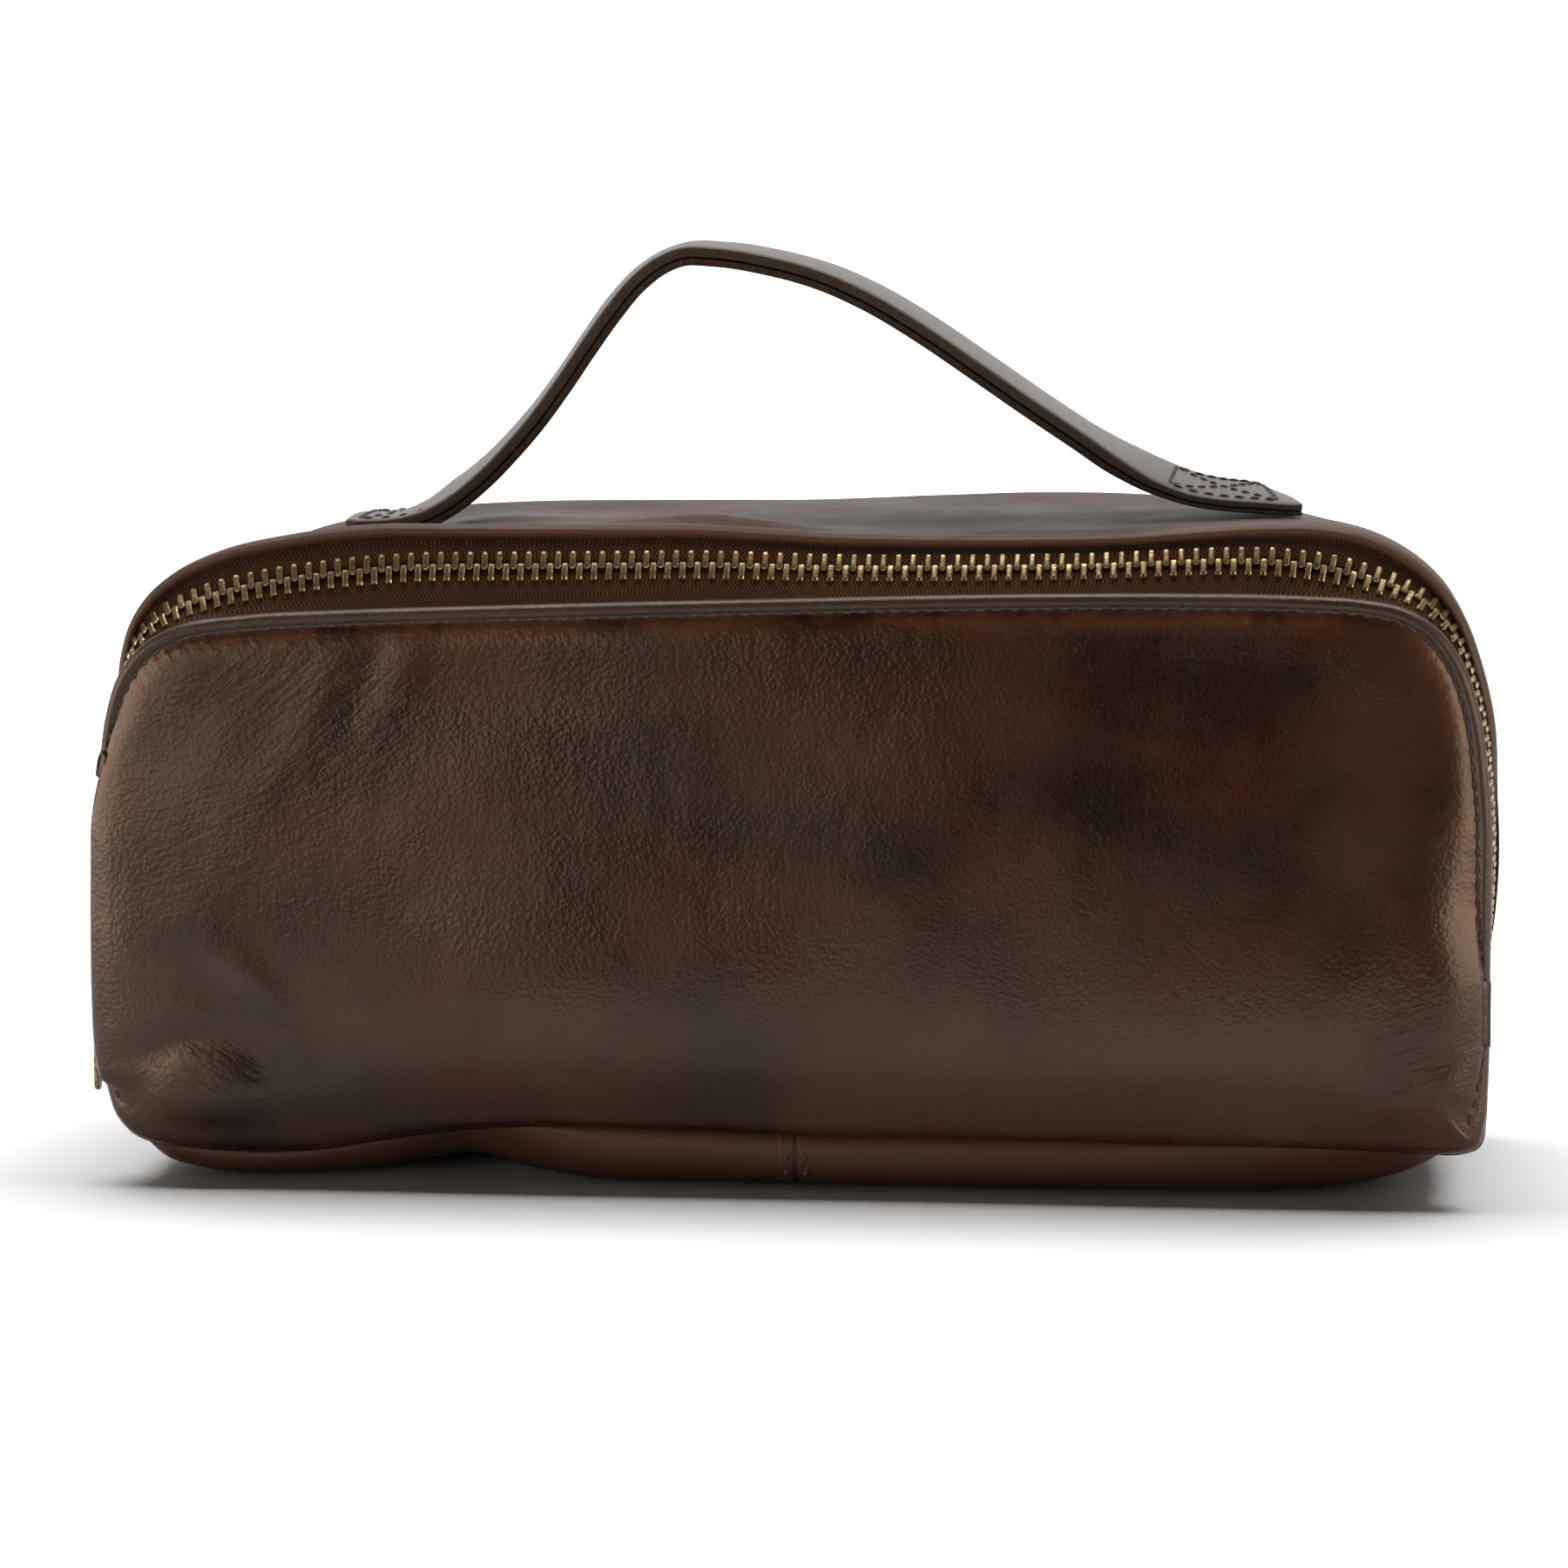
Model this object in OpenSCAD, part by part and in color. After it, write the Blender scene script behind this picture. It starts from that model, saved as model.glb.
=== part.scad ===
// Leather shaving kit bag with a three-sided front zipper and a strap handle.
// Millimetres. X is the length, +Y points from the front panel to the back panel, +Z is up.
// The origin is the middle of the footprint, on the surface the bag stands on.

/* [Body] */
// Overall length of the leather side band
body_w = 262; // [240:1:290]
// Height of the top panel above the floor
body_h = 123; // [110:1:135]
// Depth from the front seam to the back seam
body_d = 88; // [80:1:100]
// Thickness of the outer leather
leather_t = 1.5; // [1.2:0.1:1.8]
// How far the front and back panels bulge beyond their seams
bulge = 6; // [3:0.5:8]

/* [Zipper] */
// Distance between neighbouring teeth on one tape
tooth_pitch = 2.76; // [2.4:0.02:3.2]
// Height of the slider's centre above the floor, zipper closed
slider_z = 34; // [28:0.5:36]
// Thickness of the woven tape
tape_t = 0.7; // [0.5:0.1:0.8]

/* [Handle] */
// Width of the strap
strap_w = 25; // [20:1:28]
// Half the distance between the ends of the two sewn tabs
tab_end = 90; // [86:1:92]
// Thickness of the strap's upper ply
upper_ply = 2.0; // [1.6:0.1:2.2]
// Thickness of the strap's lower ply
lower_ply = 1.6; // [1.2:0.1:1.8]

/* [Hidden] */

leather = [0.20, 0.12, 0.08];
strap_leather = [0.25, 0.17, 0.12];
tape_cloth = [0.36, 0.20, 0.10];
lining_cloth = [0.42, 0.36, 0.28];
brass = [0.50, 0.42, 0.24];
thread = [0.14, 0.08, 0.06];

gap = 0.1;                 // clearance between sewn layers
far = 200;                 // longer than any side of the bag
seam_y = body_d / 2;
back_rim_y = seam_y - 1;   // plane of the back panel's rim
roll_y = seam_y - 12;      // crest of the top panel, behind the zipper
tape_rear_y = seam_y - 8;  // where the tape goes under the band's rolled edge
tape_front_y = seam_y + 1; // plane of the front panel's rim
rear_bevel = 10;           // depth of the slope that leads to the back panel
zip_end_z = 20;            // the tapes end here, and plain leather goes on below
edge_w = 3;                // width of a panel's steep turned edge
edge_rise = 0.65;          // share of the bulge that the turned edge takes
slope_w = 12;              // from a panel's outline to its flat middle

// An outline is [half width, lowest z, highest z, top corner radius, bottom corner radius].
band_outline = [body_w / 2, 0, body_h, 40, 16];
roll_outline = [body_w / 2 - 1, 4.5, body_h - 3.5, 38, 15];
front_outline = [body_w / 2 - 1.5, 9, body_h - 11.5, 38, 14];
back_outline = [body_w / 2 - 3, 8, body_h - 6, 38, 14];
arc_steps = 8;
zip_steps = 24; // the teeth need a smooth tape to grip

// The outline as a closed loop of points at depth y, each corner in equal steps.
function ring(o, y, inset = 0, steps = arc_steps) = [
  for (corner = [0:3], k = [0:steps])
  let (
    radius = corner < 2 ? o[3] : o[4],
    angle = 90 * (corner + k / steps),
    centre_x = (corner == 0 || corner == 3 ? 1 : -1) * (o[0] - radius),
    centre_z = corner < 2 ? o[2] - radius : o[1] + radius
  )
  [centre_x + (radius - inset) * cos(angle), y, centre_z + (radius - inset) * sin(angle)]
];

function mix_rings(a, b, share) = [for (i = [0:len(a) - 1]) a[i] * (1 - share) + b[i] * share];

// A closed solid through rings of equal length: looped like a tyre, or capped at both ends.
module skin(rings, looped = false) {
  count = len(rings[0]);
  last = len(rings) - (looped ? 1 : 2);
  points = [for (r = rings, p = r) p];
  walls = [
    for (j = [0:last], i = [0:count - 1])
    let (
      a = j * count + i,
      b = j * count + (i + 1) % count,
      next = (j + 1) % len(rings) * count,
      c = next + (i + 1) % count,
      d = next + i
    )
    each [[a, b, c], [a, c, d]]
  ];
  caps = looped ? [] : [
    [for (i = [count - 1:-1:0]) i],
    [for (i = [0:count - 1]) (len(rings) - 1) * count + i]
  ];
  polyhedron(points, concat(walls, caps), convexity = 6);
}

// A shell wall: its outer rings from front to back, then its inner rings from back to front.
module shell(outer, inner) {
  skin([each inner, for (i = [len(outer) - 1:-1:0]) outer[i]], looped = true);
}

// A dished panel that bulges towards +Y times side, with its rim at rim_y.
module dished_panel(o, rim_y, side, depth, thickness, inset = 0) {
  outer = [
    ring(o, rim_y, inset),
    ring(o, rim_y + side * depth * edge_rise, inset + edge_w),
    ring(o, rim_y + side * depth, inset + slope_w)
  ];
  inner = [
    ring(o, rim_y, inset + thickness),
    ring(o, rim_y + side * (depth * edge_rise - thickness), inset + edge_w + thickness * 0.7),
    ring(o, rim_y + side * (depth - thickness), inset + slope_w)
  ];
  rings = [inner[2], inner[1], inner[0], outer[0], outer[1], outer[2]];
  skin(side < 0 ? rings : [for (i = [5:-1:0]) rings[i]]);
}

// Keeps the part of its children that is higher than z.
module above(z) {
  intersection() {
    children();
    translate([-far, -far, z]) cube(2 * far);
  }
}

// Keeps the part of its children that is below the zipper's ends.
module below_zipper() {
  difference() {
    children();
    translate([-far, -far, zip_end_z]) cube(2 * far);
  }
}

// ---- shell of the bag ----

module gusset_band() {
  color(leather) {
    band_rings = [
      for (inset = [0, leather_t]) [
        ring(roll_outline, -tape_rear_y, inset), ring(band_outline, -roll_y, inset),
        ring(band_outline, seam_y - rear_bevel, inset), ring(back_outline, back_rim_y, inset)
      ]
    ];
    shell(band_rings[0], band_rings[1]);
    below_zipper() {
      front_edge = [
        for (inset = [0, leather_t])
          [ring(front_outline, -tape_front_y + 0.3, inset), ring(roll_outline, -tape_rear_y, inset)]
      ];
      shell(front_edge[0], front_edge[1]);
    }
  }
}

module front_panel() {
  color(leather) dished_panel(front_outline, -tape_front_y, -1, bulge, leather_t);
}

module back_panel() {
  color(leather) dished_panel(back_outline, back_rim_y + gap, 1, bulge, leather_t);
}

lining_t = 0.6;
seam_tape_t = 0.8;
lining_inset = leather_t + 1.3;

module front_lining() {
  color(lining_cloth)
    dished_panel(front_outline, -tape_front_y, -1, bulge - leather_t - 1, lining_t, leather_t + 0.4);
}

module back_lining() {
  rear_y = seam_y - 2.2;
  color(lining_cloth)
    skin([for (y = [rear_y - lining_t, rear_y]) ring(back_outline, y, 5)]);
}

module gusset_lining() {
  rings = [
    for (inset = [lining_inset, lining_inset + lining_t]) [
      ring(roll_outline, -tape_rear_y + 1, inset), ring(band_outline, -roll_y, inset),
      ring(band_outline, seam_y - rear_bevel, inset)
    ]
  ];
  color(lining_cloth) shell(rings[0], rings[1]);
}

pocket_w = 180;
pocket_z = [22, 84];
pocket_y = seam_y - 2.9; // the pocket lies against the back lining here
pocket_gap = 1.6;
pocket_t = 0.7;
pocket_hem = 1;

module slip_pocket() {
  depth = pocket_gap + pocket_t;
  color(lining_cloth) difference() {
    translate([-pocket_w / 2, pocket_y - depth, pocket_z[0]])
      cube([pocket_w, depth, pocket_z[1] - pocket_z[0]]);
    translate([-pocket_w / 2 + pocket_hem, pocket_y - pocket_gap, pocket_z[0] + pocket_hem])
      cube([pocket_w - 2 * pocket_hem, pocket_gap + 1, far]);
  }
}

// A folded strip that covers the pocket's upper edge.
module pocket_binding() {
  binding_h = 5;
  binding_t = 1.6;
  fold_t = 0.7;
  front_y = pocket_y - pocket_gap - pocket_t - binding_t / 2;
  color(leather) difference() {
    translate([-pocket_w / 2 - 0.5, front_y, pocket_z[1] + gap])
      cube([pocket_w + 1, binding_t, binding_h]);
    translate([-far, front_y + fold_t, pocket_z[1] - 1])
      cube([2 * far, binding_t - 2 * fold_t, binding_h]);
  }
}

module back_seam_binding() {
  binding_y = [seam_y - 4.4, seam_y - 1.4];
  rings = [for (inset = [2.9, 4.6]) [for (y = binding_y) ring(back_outline, y, inset)]];
  color(lining_cloth) shell(rings[0], rings[1]);
}

// Covers the open seam where the band's two ends meet in the middle of the bottom.
module gusset_seam_tape() {
  tape_w = 16;
  color(tape_cloth) translate([-tape_w / 2, -roll_y, leather_t + gap])
    cube([tape_w, 2 * roll_y, seam_tape_t]);
}

// ---- zipper ----

// The line where the teeth mesh runs halfway between the panel's rim and the band's edge.
chain_outline = (front_outline + roll_outline) / 2;
chain_y = -(tape_front_y + tape_rear_y) / 2;
corner_r = chain_outline[3];
side_x = chain_outline[0] - corner_r;
arc_z = chain_outline[2] - corner_r;
chain_start_z = slider_z - 2;
side_run = arc_z - chain_start_z;
arc_run = PI / 2 * corner_r;
top_run = 2 * side_x;
chain_run = 2 * side_run + 2 * arc_run + top_run;
tooth_count = floor(chain_run / tooth_pitch);

// Direction from the middle of the outline, as an angle, at distance s along the chain.
function chain_angle(s) =
  s < side_run ? 180 :
  s < side_run + arc_run ? 180 - 90 * (s - side_run) / arc_run :
  s < side_run + arc_run + top_run ? 90 :
  s < chain_run - side_run ? 90 - 90 * (s - side_run - arc_run - top_run) / arc_run : 0;

function chain_point(s) =
  s < side_run ? [-chain_outline[0], chain_y, chain_start_z + s] :
  s > chain_run - side_run ? [chain_outline[0], chain_y, chain_start_z + chain_run - s] :
  let (
    angle = chain_angle(s),
    along = min(max(s - side_run - arc_run, 0), top_run) - side_x
  )
  [along + corner_r * cos(angle), chain_y, arc_z + corner_r * sin(angle)];

// Puts children at distance s along the chain: X along the chain, Y across the tape, Z outwards.
module on_chain(s) {
  angle = chain_angle(s);
  spread = roll_outline - front_outline;
  rise = spread[0] * abs(cos(angle)) + spread[2] * sin(angle);
  slope = atan2(rise, tape_front_y - tape_rear_y);
  point = chain_point(s);
  multmatrix([
    [sin(angle), cos(angle) * sin(slope), cos(angle) * cos(slope), point[0]],
    [0, cos(slope), -sin(slope), point[1]],
    [-cos(angle), sin(angle) * sin(slope), sin(angle) * cos(slope), point[2]]
  ]) children();
}

// A tape from share_a to share_b of the way from the front panel to the band.
module zip_tape(share_a, share_b) {
  rings = [
    for (inset = [-tape_t / 2, tape_t / 2]) let (
      front = ring(front_outline, -tape_front_y + gap, inset, zip_steps),
      rear = ring(roll_outline, -tape_rear_y - gap, inset, zip_steps)
    ) [mix_rings(front, rear, share_a), mix_rings(front, rear, share_b)]
  ];
  color(tape_cloth) above(zip_end_z + 2 * gap) shell(rings[0], rings[1]);
}

tape_edge = 0.355; // each tape's share of the strip, up to its corded edge

module zip_tape_front() { zip_tape(0, tape_edge); }

module zip_tape_rear() { zip_tape(1 - tape_edge, 1); }

tooth_reach = 3.0;  // from the middle line back over the tape
tooth_head = 0.55;  // from the middle line into the other row
tooth_half_t = 1.1;
tooth_w = 1.2;
jaw = 0.46;         // half the slot that grips the tape
jaw_end = 1.15;     // from the middle line to the bottom of that slot

// One tooth: two jaws that clamp the tape's edge, and a head that crosses the middle line.
module tooth() {
  profile = [
    [-tooth_reach, jaw], [-jaw_end, jaw], [-jaw_end, -jaw], [-tooth_reach, -jaw],
    [-tooth_reach, -tooth_half_t], [tooth_head, -tooth_half_t],
    [tooth_head, tooth_half_t], [-tooth_reach, tooth_half_t]
  ];
  rotate([90, 0, 90]) linear_extrude(tooth_w, center = true) polygon(profile);
}

module zip_teeth_front() {
  color(brass) for (i = [0:tooth_count - 3])
    on_chain((i + 0.25) * tooth_pitch) tooth();
}

module zip_teeth_rear() {
  color(brass) for (i = [0:tooth_count - 3])
    on_chain((i + 0.75) * tooth_pitch) mirror([0, 1, 0]) tooth();
}

// A stop that is pinched over the edge of the tape on the +Y side of the middle line.
module tape_clip(length) {
  difference() {
    translate([-length / 2, stop_gap, -1]) cube([length, 2.6, 2]);
    translate([-length, jaw_end, -jaw]) cube([2 * length, tooth_reach, 2 * jaw]);
  }
}

stop_gap = 0.15;
top_stop_s = -5;
top_stop_l = 1.2;
bottom_stop_s = tooth_count * tooth_pitch - 1.2;

module zip_top_stop_front() {
  color(brass) on_chain(top_stop_s) mirror([0, 1, 0]) tape_clip(top_stop_l);
}

module zip_top_stop_rear() {
  color(brass) on_chain(top_stop_s) tape_clip(top_stop_l);
}

module zip_bottom_stop() {
  color(brass) on_chain(bottom_stop_s) tape_clip(2.2);
}

plate_l = 11;
plate_w = 8.6;
plate_t = 0.9;
plate_gap = 1.35;
pull_axis_n = plate_gap + plate_t + 1.05;
pull_bar_r = 0.65;

module zip_slider() {
  color(brass) on_chain(slider_z - chain_start_z) {
    for (side = [-1, 1]) scale([1, 1, side]) {
      translate([-plate_l / 2, -plate_w / 2, plate_gap]) cube([plate_l, plate_w, plate_t]);
      for (edge = [-1, 1])
        translate([-plate_l / 2, edge * (plate_w / 2 - 0.35) - 0.35, 0.65])
          cube([plate_l, 0.7, plate_gap]);
    }
    translate([-plate_l / 2, -0.9, -plate_gap - 0.1]) cube([2.6, 1.8, 2 * plate_gap + 0.2]);
    slider_bridge();
  }
}

// The bridge over the slider's outer plate, which holds the pull's cross bar.
module slider_bridge() {
  bridge_z = plate_gap + plate_t;
  difference() {
    translate([-3.4, -0.9, bridge_z - 0.2]) cube([6.8, 1.8, 3.0]);
    translate([-2.3, -2, bridge_z]) cube([4.6, 4, 1.9]);
  }
}

pull_l = 18;
pull_w = 6.6;

module zip_pull() {
  color(brass) on_chain(slider_z - chain_start_z) translate([0, 0, pull_axis_n]) {
    rotate([90, 0, 0]) cylinder(h = pull_w - 1, r = pull_bar_r, center = true, $fn = 24);
    difference() {
      translate([-pull_l + 0.6, -pull_w / 2, -0.6]) cube([pull_l, pull_w, 1.2]);
      translate([-5.4, -1.7, -2]) cube([5.4 + 2, 3.4, 4]);
      translate([-pull_l + 4, 0, -2]) cylinder(h = 4, r = 1.2, $fn = 24);
    }
  }
}

// ---- handle ----

// The upper face of the strap, from the left tab's end to the right tab's end.
strap_line = [
  [-tab_end, 125.2], [-80, 125.6], [-70, 129.5], [-62, 136], [-50, 152.5], [-38, 168.4],
  [-25, 173.4], [-10, 172.6], [6, 168.2], [25, 157], [42, 145.2], [54, 136.2],
  [66, 129.2], [78, 126.2], [tab_end, 125.2]
];
strap_split = [-62, 54];
strap_steps = 4;

function spline(p, i, t) = let (
  a = p[max(i - 1, 0)], b = p[i], c = p[i + 1], d = p[min(i + 2, len(p) - 1)]
) 0.5 * (2 * b + (c - a) * t + (2 * a - 5 * b + 4 * c - d) * t * t + (3 * b - a - 3 * c + d) * t * t * t);

strap_top = [
  for (i = [0:len(strap_line) - 2], k = [0:strap_steps - 1]) spline(strap_line, i, k / strap_steps),
  strap_line[len(strap_line) - 1]
];

// The strap's upper face, moved down by depth square to itself.
function sunk(points, depth) = [
  for (i = [0:len(points) - 1]) let (
    way = points[min(i + 1, len(points) - 1)] - points[max(i - 1, 0)],
    unit = way / norm(way)
  ) points[i] + depth * [unit[1], -unit[0]]
];

module strap_layer(top, bottom, from_x, to_x) {
  upper = sunk(strap_top, top);
  lower = sunk(strap_top, bottom);
  translate([0, strap_w / 2, 0]) rotate([90, 0, 0]) linear_extrude(strap_w) intersection() {
    polygon([each upper, for (i = [len(lower) - 1:-1:0]) lower[i]]);
    translate([from_x, 100]) square([to_x - from_x, 100]);
  }
}

module handle_strap() {
  color(strap_leather) strap_layer(0, upper_ply, strap_split[0] + 0.2, strap_split[1] - 0.2);
}

module handle_strap_lining() {
  color(strap_leather)
    strap_layer(upper_ply + 0.02, upper_ply + lower_ply, strap_split[0] + 0.2, strap_split[1] - 0.2);
}

module handle_tab_left() {
  color(strap_leather) strap_layer(0, upper_ply, -100, strap_split[0] - 0.2);
}

module handle_tab_right() {
  color(strap_leather) strap_layer(0, upper_ply, strap_split[1] + 0.2, 100);
}

module handle_backing(side) {
  color(tape_cloth)
    translate([side * 78 - 14, -strap_w / 2 - 2, body_h - leather_t - gap - 1])
      cube([28, strap_w + 4, 1]);
}

module handle_backing_left() { handle_backing(-1); }

module handle_backing_right() { handle_backing(1); }

// ---- stitching ----

stitch_l = 2.2;
stitch_w = 0.6;
stitch_h = 0.5;
stitch_step = 3.1;

// One stitch along X, seen from above.
module stitch(height = stitch_h) {
  cube([stitch_l, stitch_w, height], center = true);
}

// A row of stitches parallel to the front panel's edge, from the zipper's left end to its right end.
module front_edge_stitches() {
  row_inset = 5;
  row_outline = front_outline - row_inset * [1, 0, 1, 1, 0];
  half_x = row_outline[0] - row_outline[3];
  corner_z = row_outline[2] - row_outline[3];
  low_z = zip_end_z + 4;
  arc = PI / 2 * row_outline[3];
  slope = bulge * (1 - edge_rise) / (slope_w - edge_w);
  rise = bulge * edge_rise + slope * (row_inset + stitch_w - edge_w);
  row_y = -tape_front_y - rise - stitch_h / 2;
  color(thread) {
    for (side = [-1, 1], s = [1:stitch_step:corner_z - low_z])
      translate([side * row_outline[0], row_y, low_z + s]) rotate([90, 90, 0]) stitch();
    for (side = [-1, 1], s = [1:stitch_step:arc])
      translate([side * half_x, row_y, corner_z]) rotate([0, side * (90 - s / arc * 90), 0])
        translate([0, 0, row_outline[3]]) rotate([90, 0, 0]) stitch();
    for (s = [1:stitch_step:2 * half_x])
      translate([s - half_x, row_y, row_outline[2]]) rotate([90, 0, 0]) stitch();
  }
}

// Two rows through the seam tape, one each side of the open seam.
module bottom_seam_stitches() {
  row_x = 2.2;
  height = 0.2;
  row_z = leather_t + 2 * gap + seam_tape_t + height / 2;
  color(thread) for (side = [-1, 1], s = [-roll_y + 2:stitch_step:roll_y])
    translate([side * row_x, s, row_z]) rotate([0, 0, 90]) stitch(height);
}

// A sewn box with a cross in it, on the flat end of the strap.
module handle_stitches(side) {
  box_x = [68, 87];
  box_y = strap_w / 2 - 3;
  end_z = 125.75;
  cross_z = 126.45;
  way = atan2(2 * box_y, box_x[1] - box_x[0]);
  diagonal = norm([box_x[1] - box_x[0], 2 * box_y]);
  color(thread) {
    for (x = [79:stitch_step:86], edge = [-1, 1])
      translate([side * x, edge * box_y, cross_z]) stitch();
    for (y = [-box_y + 1.4:stitch_step:box_y])
      translate([side * box_x[1], y, end_z]) rotate([0, 0, 90]) stitch();
    for (turn = [-1, 1], s = [2:stitch_step:diagonal / 2 - 3])
      translate([side * (box_x[1] - s * cos(way)), turn * (box_y - s * sin(way)), cross_z])
        rotate([0, 0, side * turn * way]) stitch();
  }
}

module handle_stitches_left() { handle_stitches(-1); }

module handle_stitches_right() { handle_stitches(1); }

gusset_band();
front_panel();
back_panel();
front_lining();
back_lining();
gusset_lining();
slip_pocket();
pocket_binding();
back_seam_binding();
gusset_seam_tape();
zip_tape_front();
zip_tape_rear();
zip_teeth_front();
zip_teeth_rear();
zip_top_stop_front();
zip_top_stop_rear();
zip_bottom_stop();
zip_slider();
zip_pull();
handle_strap();
handle_strap_lining();
handle_tab_left();
handle_tab_right();
handle_backing_left();
handle_backing_right();
front_edge_stitches();
bottom_seam_stitches();
handle_stitches_left();
handle_stitches_right();
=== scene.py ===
"""A zipped leather shaving kit bag with an arched strap handle, shown as a product on a white sweep.

Shapes are worked out in millimetres with X to the bag's right, Y to its back and Z up, and become metres
when a mesh is made.
"""

import math

import bmesh
import bpy
import numpy as np
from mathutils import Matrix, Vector


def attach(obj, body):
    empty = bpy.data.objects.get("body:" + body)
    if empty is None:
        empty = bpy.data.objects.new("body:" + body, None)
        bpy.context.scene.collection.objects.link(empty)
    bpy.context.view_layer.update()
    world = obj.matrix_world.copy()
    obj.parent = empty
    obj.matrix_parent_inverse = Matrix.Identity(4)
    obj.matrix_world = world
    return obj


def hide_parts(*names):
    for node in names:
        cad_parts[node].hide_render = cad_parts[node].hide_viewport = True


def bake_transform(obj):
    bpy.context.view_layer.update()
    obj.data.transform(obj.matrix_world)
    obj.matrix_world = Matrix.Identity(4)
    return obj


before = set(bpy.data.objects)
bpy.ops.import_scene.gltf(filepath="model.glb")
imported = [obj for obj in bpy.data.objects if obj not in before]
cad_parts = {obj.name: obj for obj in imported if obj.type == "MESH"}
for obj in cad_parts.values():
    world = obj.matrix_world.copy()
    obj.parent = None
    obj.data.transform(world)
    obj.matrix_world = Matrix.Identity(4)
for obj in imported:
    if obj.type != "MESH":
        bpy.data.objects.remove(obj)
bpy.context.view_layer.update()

MM = 0.001
LIFT = 1.2  # the panels' lower edges stand this far off the floor, on the slightly fuller bottom

# ---------------------------------------------------------------- curves and rings


def hermite(x, knots, values):
    """Smooth curve through values at knots, read at x. It goes on level past both ends."""
    knots, values = np.asarray(knots, float), np.asarray(values, float)
    slope = np.gradient(values, knots, axis=0)
    x = np.clip(np.asarray(x, float), knots[0], knots[-1])
    i = np.clip(np.searchsorted(knots, x, side="right") - 1, 0, len(knots) - 2)
    h = knots[i + 1] - knots[i]
    t = (x - knots[i]) / h
    if values.ndim > 1:
        h, t = h[:, None], t[:, None]
    return (
        (2 * t**3 - 3 * t**2 + 1) * values[i]
        + (t**3 - 2 * t**2 + t) * h * slope[i]
        + (3 * t**2 - 2 * t**3) * values[i + 1]
        + (t**3 - t**2) * h * slope[i + 1]
    )


def ramp(x, a, b):
    """0 at a, 1 at b, with soft ends."""
    t = np.clip((np.asarray(x, float) - a) / (b - a), 0, 1)
    return t * t * (3 - 2 * t)


def distances(points):
    """Distance along a line to each of its points."""
    return np.concatenate([[0], np.cumsum(np.linalg.norm(np.diff(points, axis=0), axis=1))])


RING = 720  # points round the bag's outline, the first in the middle of the bottom
MIDDLE = np.array([0.0, 60.0])
HALF_W, HALF_H, CORNER_R = 130.0, 60.0, 35.0  # the rounded box whose even steps give the ring's directions
CORE_HALF = 64.0                              # the panels' rows close on a line this long to each side


def reference_ring(half_w=HALF_W, half_h=HALF_H, r=CORNER_R):
    """Even steps round a rounded box, clockwise as seen from the front."""
    corners = [(-1, -1, 270), (-1, 1, 180), (1, 1, 90), (1, -1, 0)]
    points = [(0.0, -half_h)]
    for sx, sz, start in corners:
        for a in np.linspace(start, start - 90, 91):
            a = math.radians(a)
            points.append((sx * (half_w - r) + r * math.cos(a), sz * (half_h - r) + r * math.sin(a)))
    points = np.array(points + [(0.0, -half_h)])
    along = distances(points)
    at = np.linspace(0, along[-1], RING, endpoint=False)
    return np.stack([np.interp(at, along, points[:, 0]), np.interp(at, along, points[:, 1])], 1)


REFERENCE = reference_ring()
ANGLE = np.arctan2(-REFERENCE[:, 0], -REFERENCE[:, 1]) % (2 * math.pi)
CORE = np.stack([REFERENCE[:, 0] * CORE_HALF / HALF_W, np.zeros(RING), np.full(RING, MIDDLE[1])], 1)


def ring_through(points):
    """The closed smooth curve through points (x, z), read where it crosses each of the ring's directions."""
    p = np.array(points, float)
    p = np.vstack([p[-3:], p, p[:4]])
    along = distances(p)
    dense = hermite(np.linspace(along[3], along[-4], 6000, endpoint=False), along, p) - MIDDLE
    turn = np.arctan2(-dense[:, 0], -dense[:, 1]) % (2 * math.pi)
    order = np.argsort(turn)
    r = np.interp(ANGLE, turn[order], np.hypot(*dense.T)[order], period=2 * math.pi)
    return MIDDLE + np.stack([-r * np.sin(ANGLE), -r * np.cos(ANGLE)], 1)


def outward(ring, soften=0):
    """Unit normals of a ring in its plane, averaged over 2 * soften + 1 neighbours."""
    t = np.roll(ring, -1, 0) - np.roll(ring, 1, 0)
    n = np.stack([-t[:, 1], t[:, 0]], 1)
    n /= np.hypot(*n.T)[:, None]
    if soften:
        n = sum(np.roll(n, k, 0) for k in range(-soften, soften + 1))
        n /= np.hypot(*n.T)[:, None]
    return n


def ring_length(ring):
    """Distance round the ring to each of its points, and the whole way round as one more value."""
    return distances(np.vstack([ring, ring[:1]]))


def at_y(xz, y):
    """A row of points (x, z), set at y."""
    return np.stack([xz[:, 0], np.broadcast_to(y, len(xz)), xz[:, 1]], 1)


def ring_map(ring, across):
    """Distance round a ring and across it, for surface()'s edge map of rows that lie at across."""
    return (np.broadcast_to(ring_length(ring), (len(across), RING + 1)),
            np.broadcast_to(np.asarray(across)[:, None], (len(across), RING)))


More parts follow.
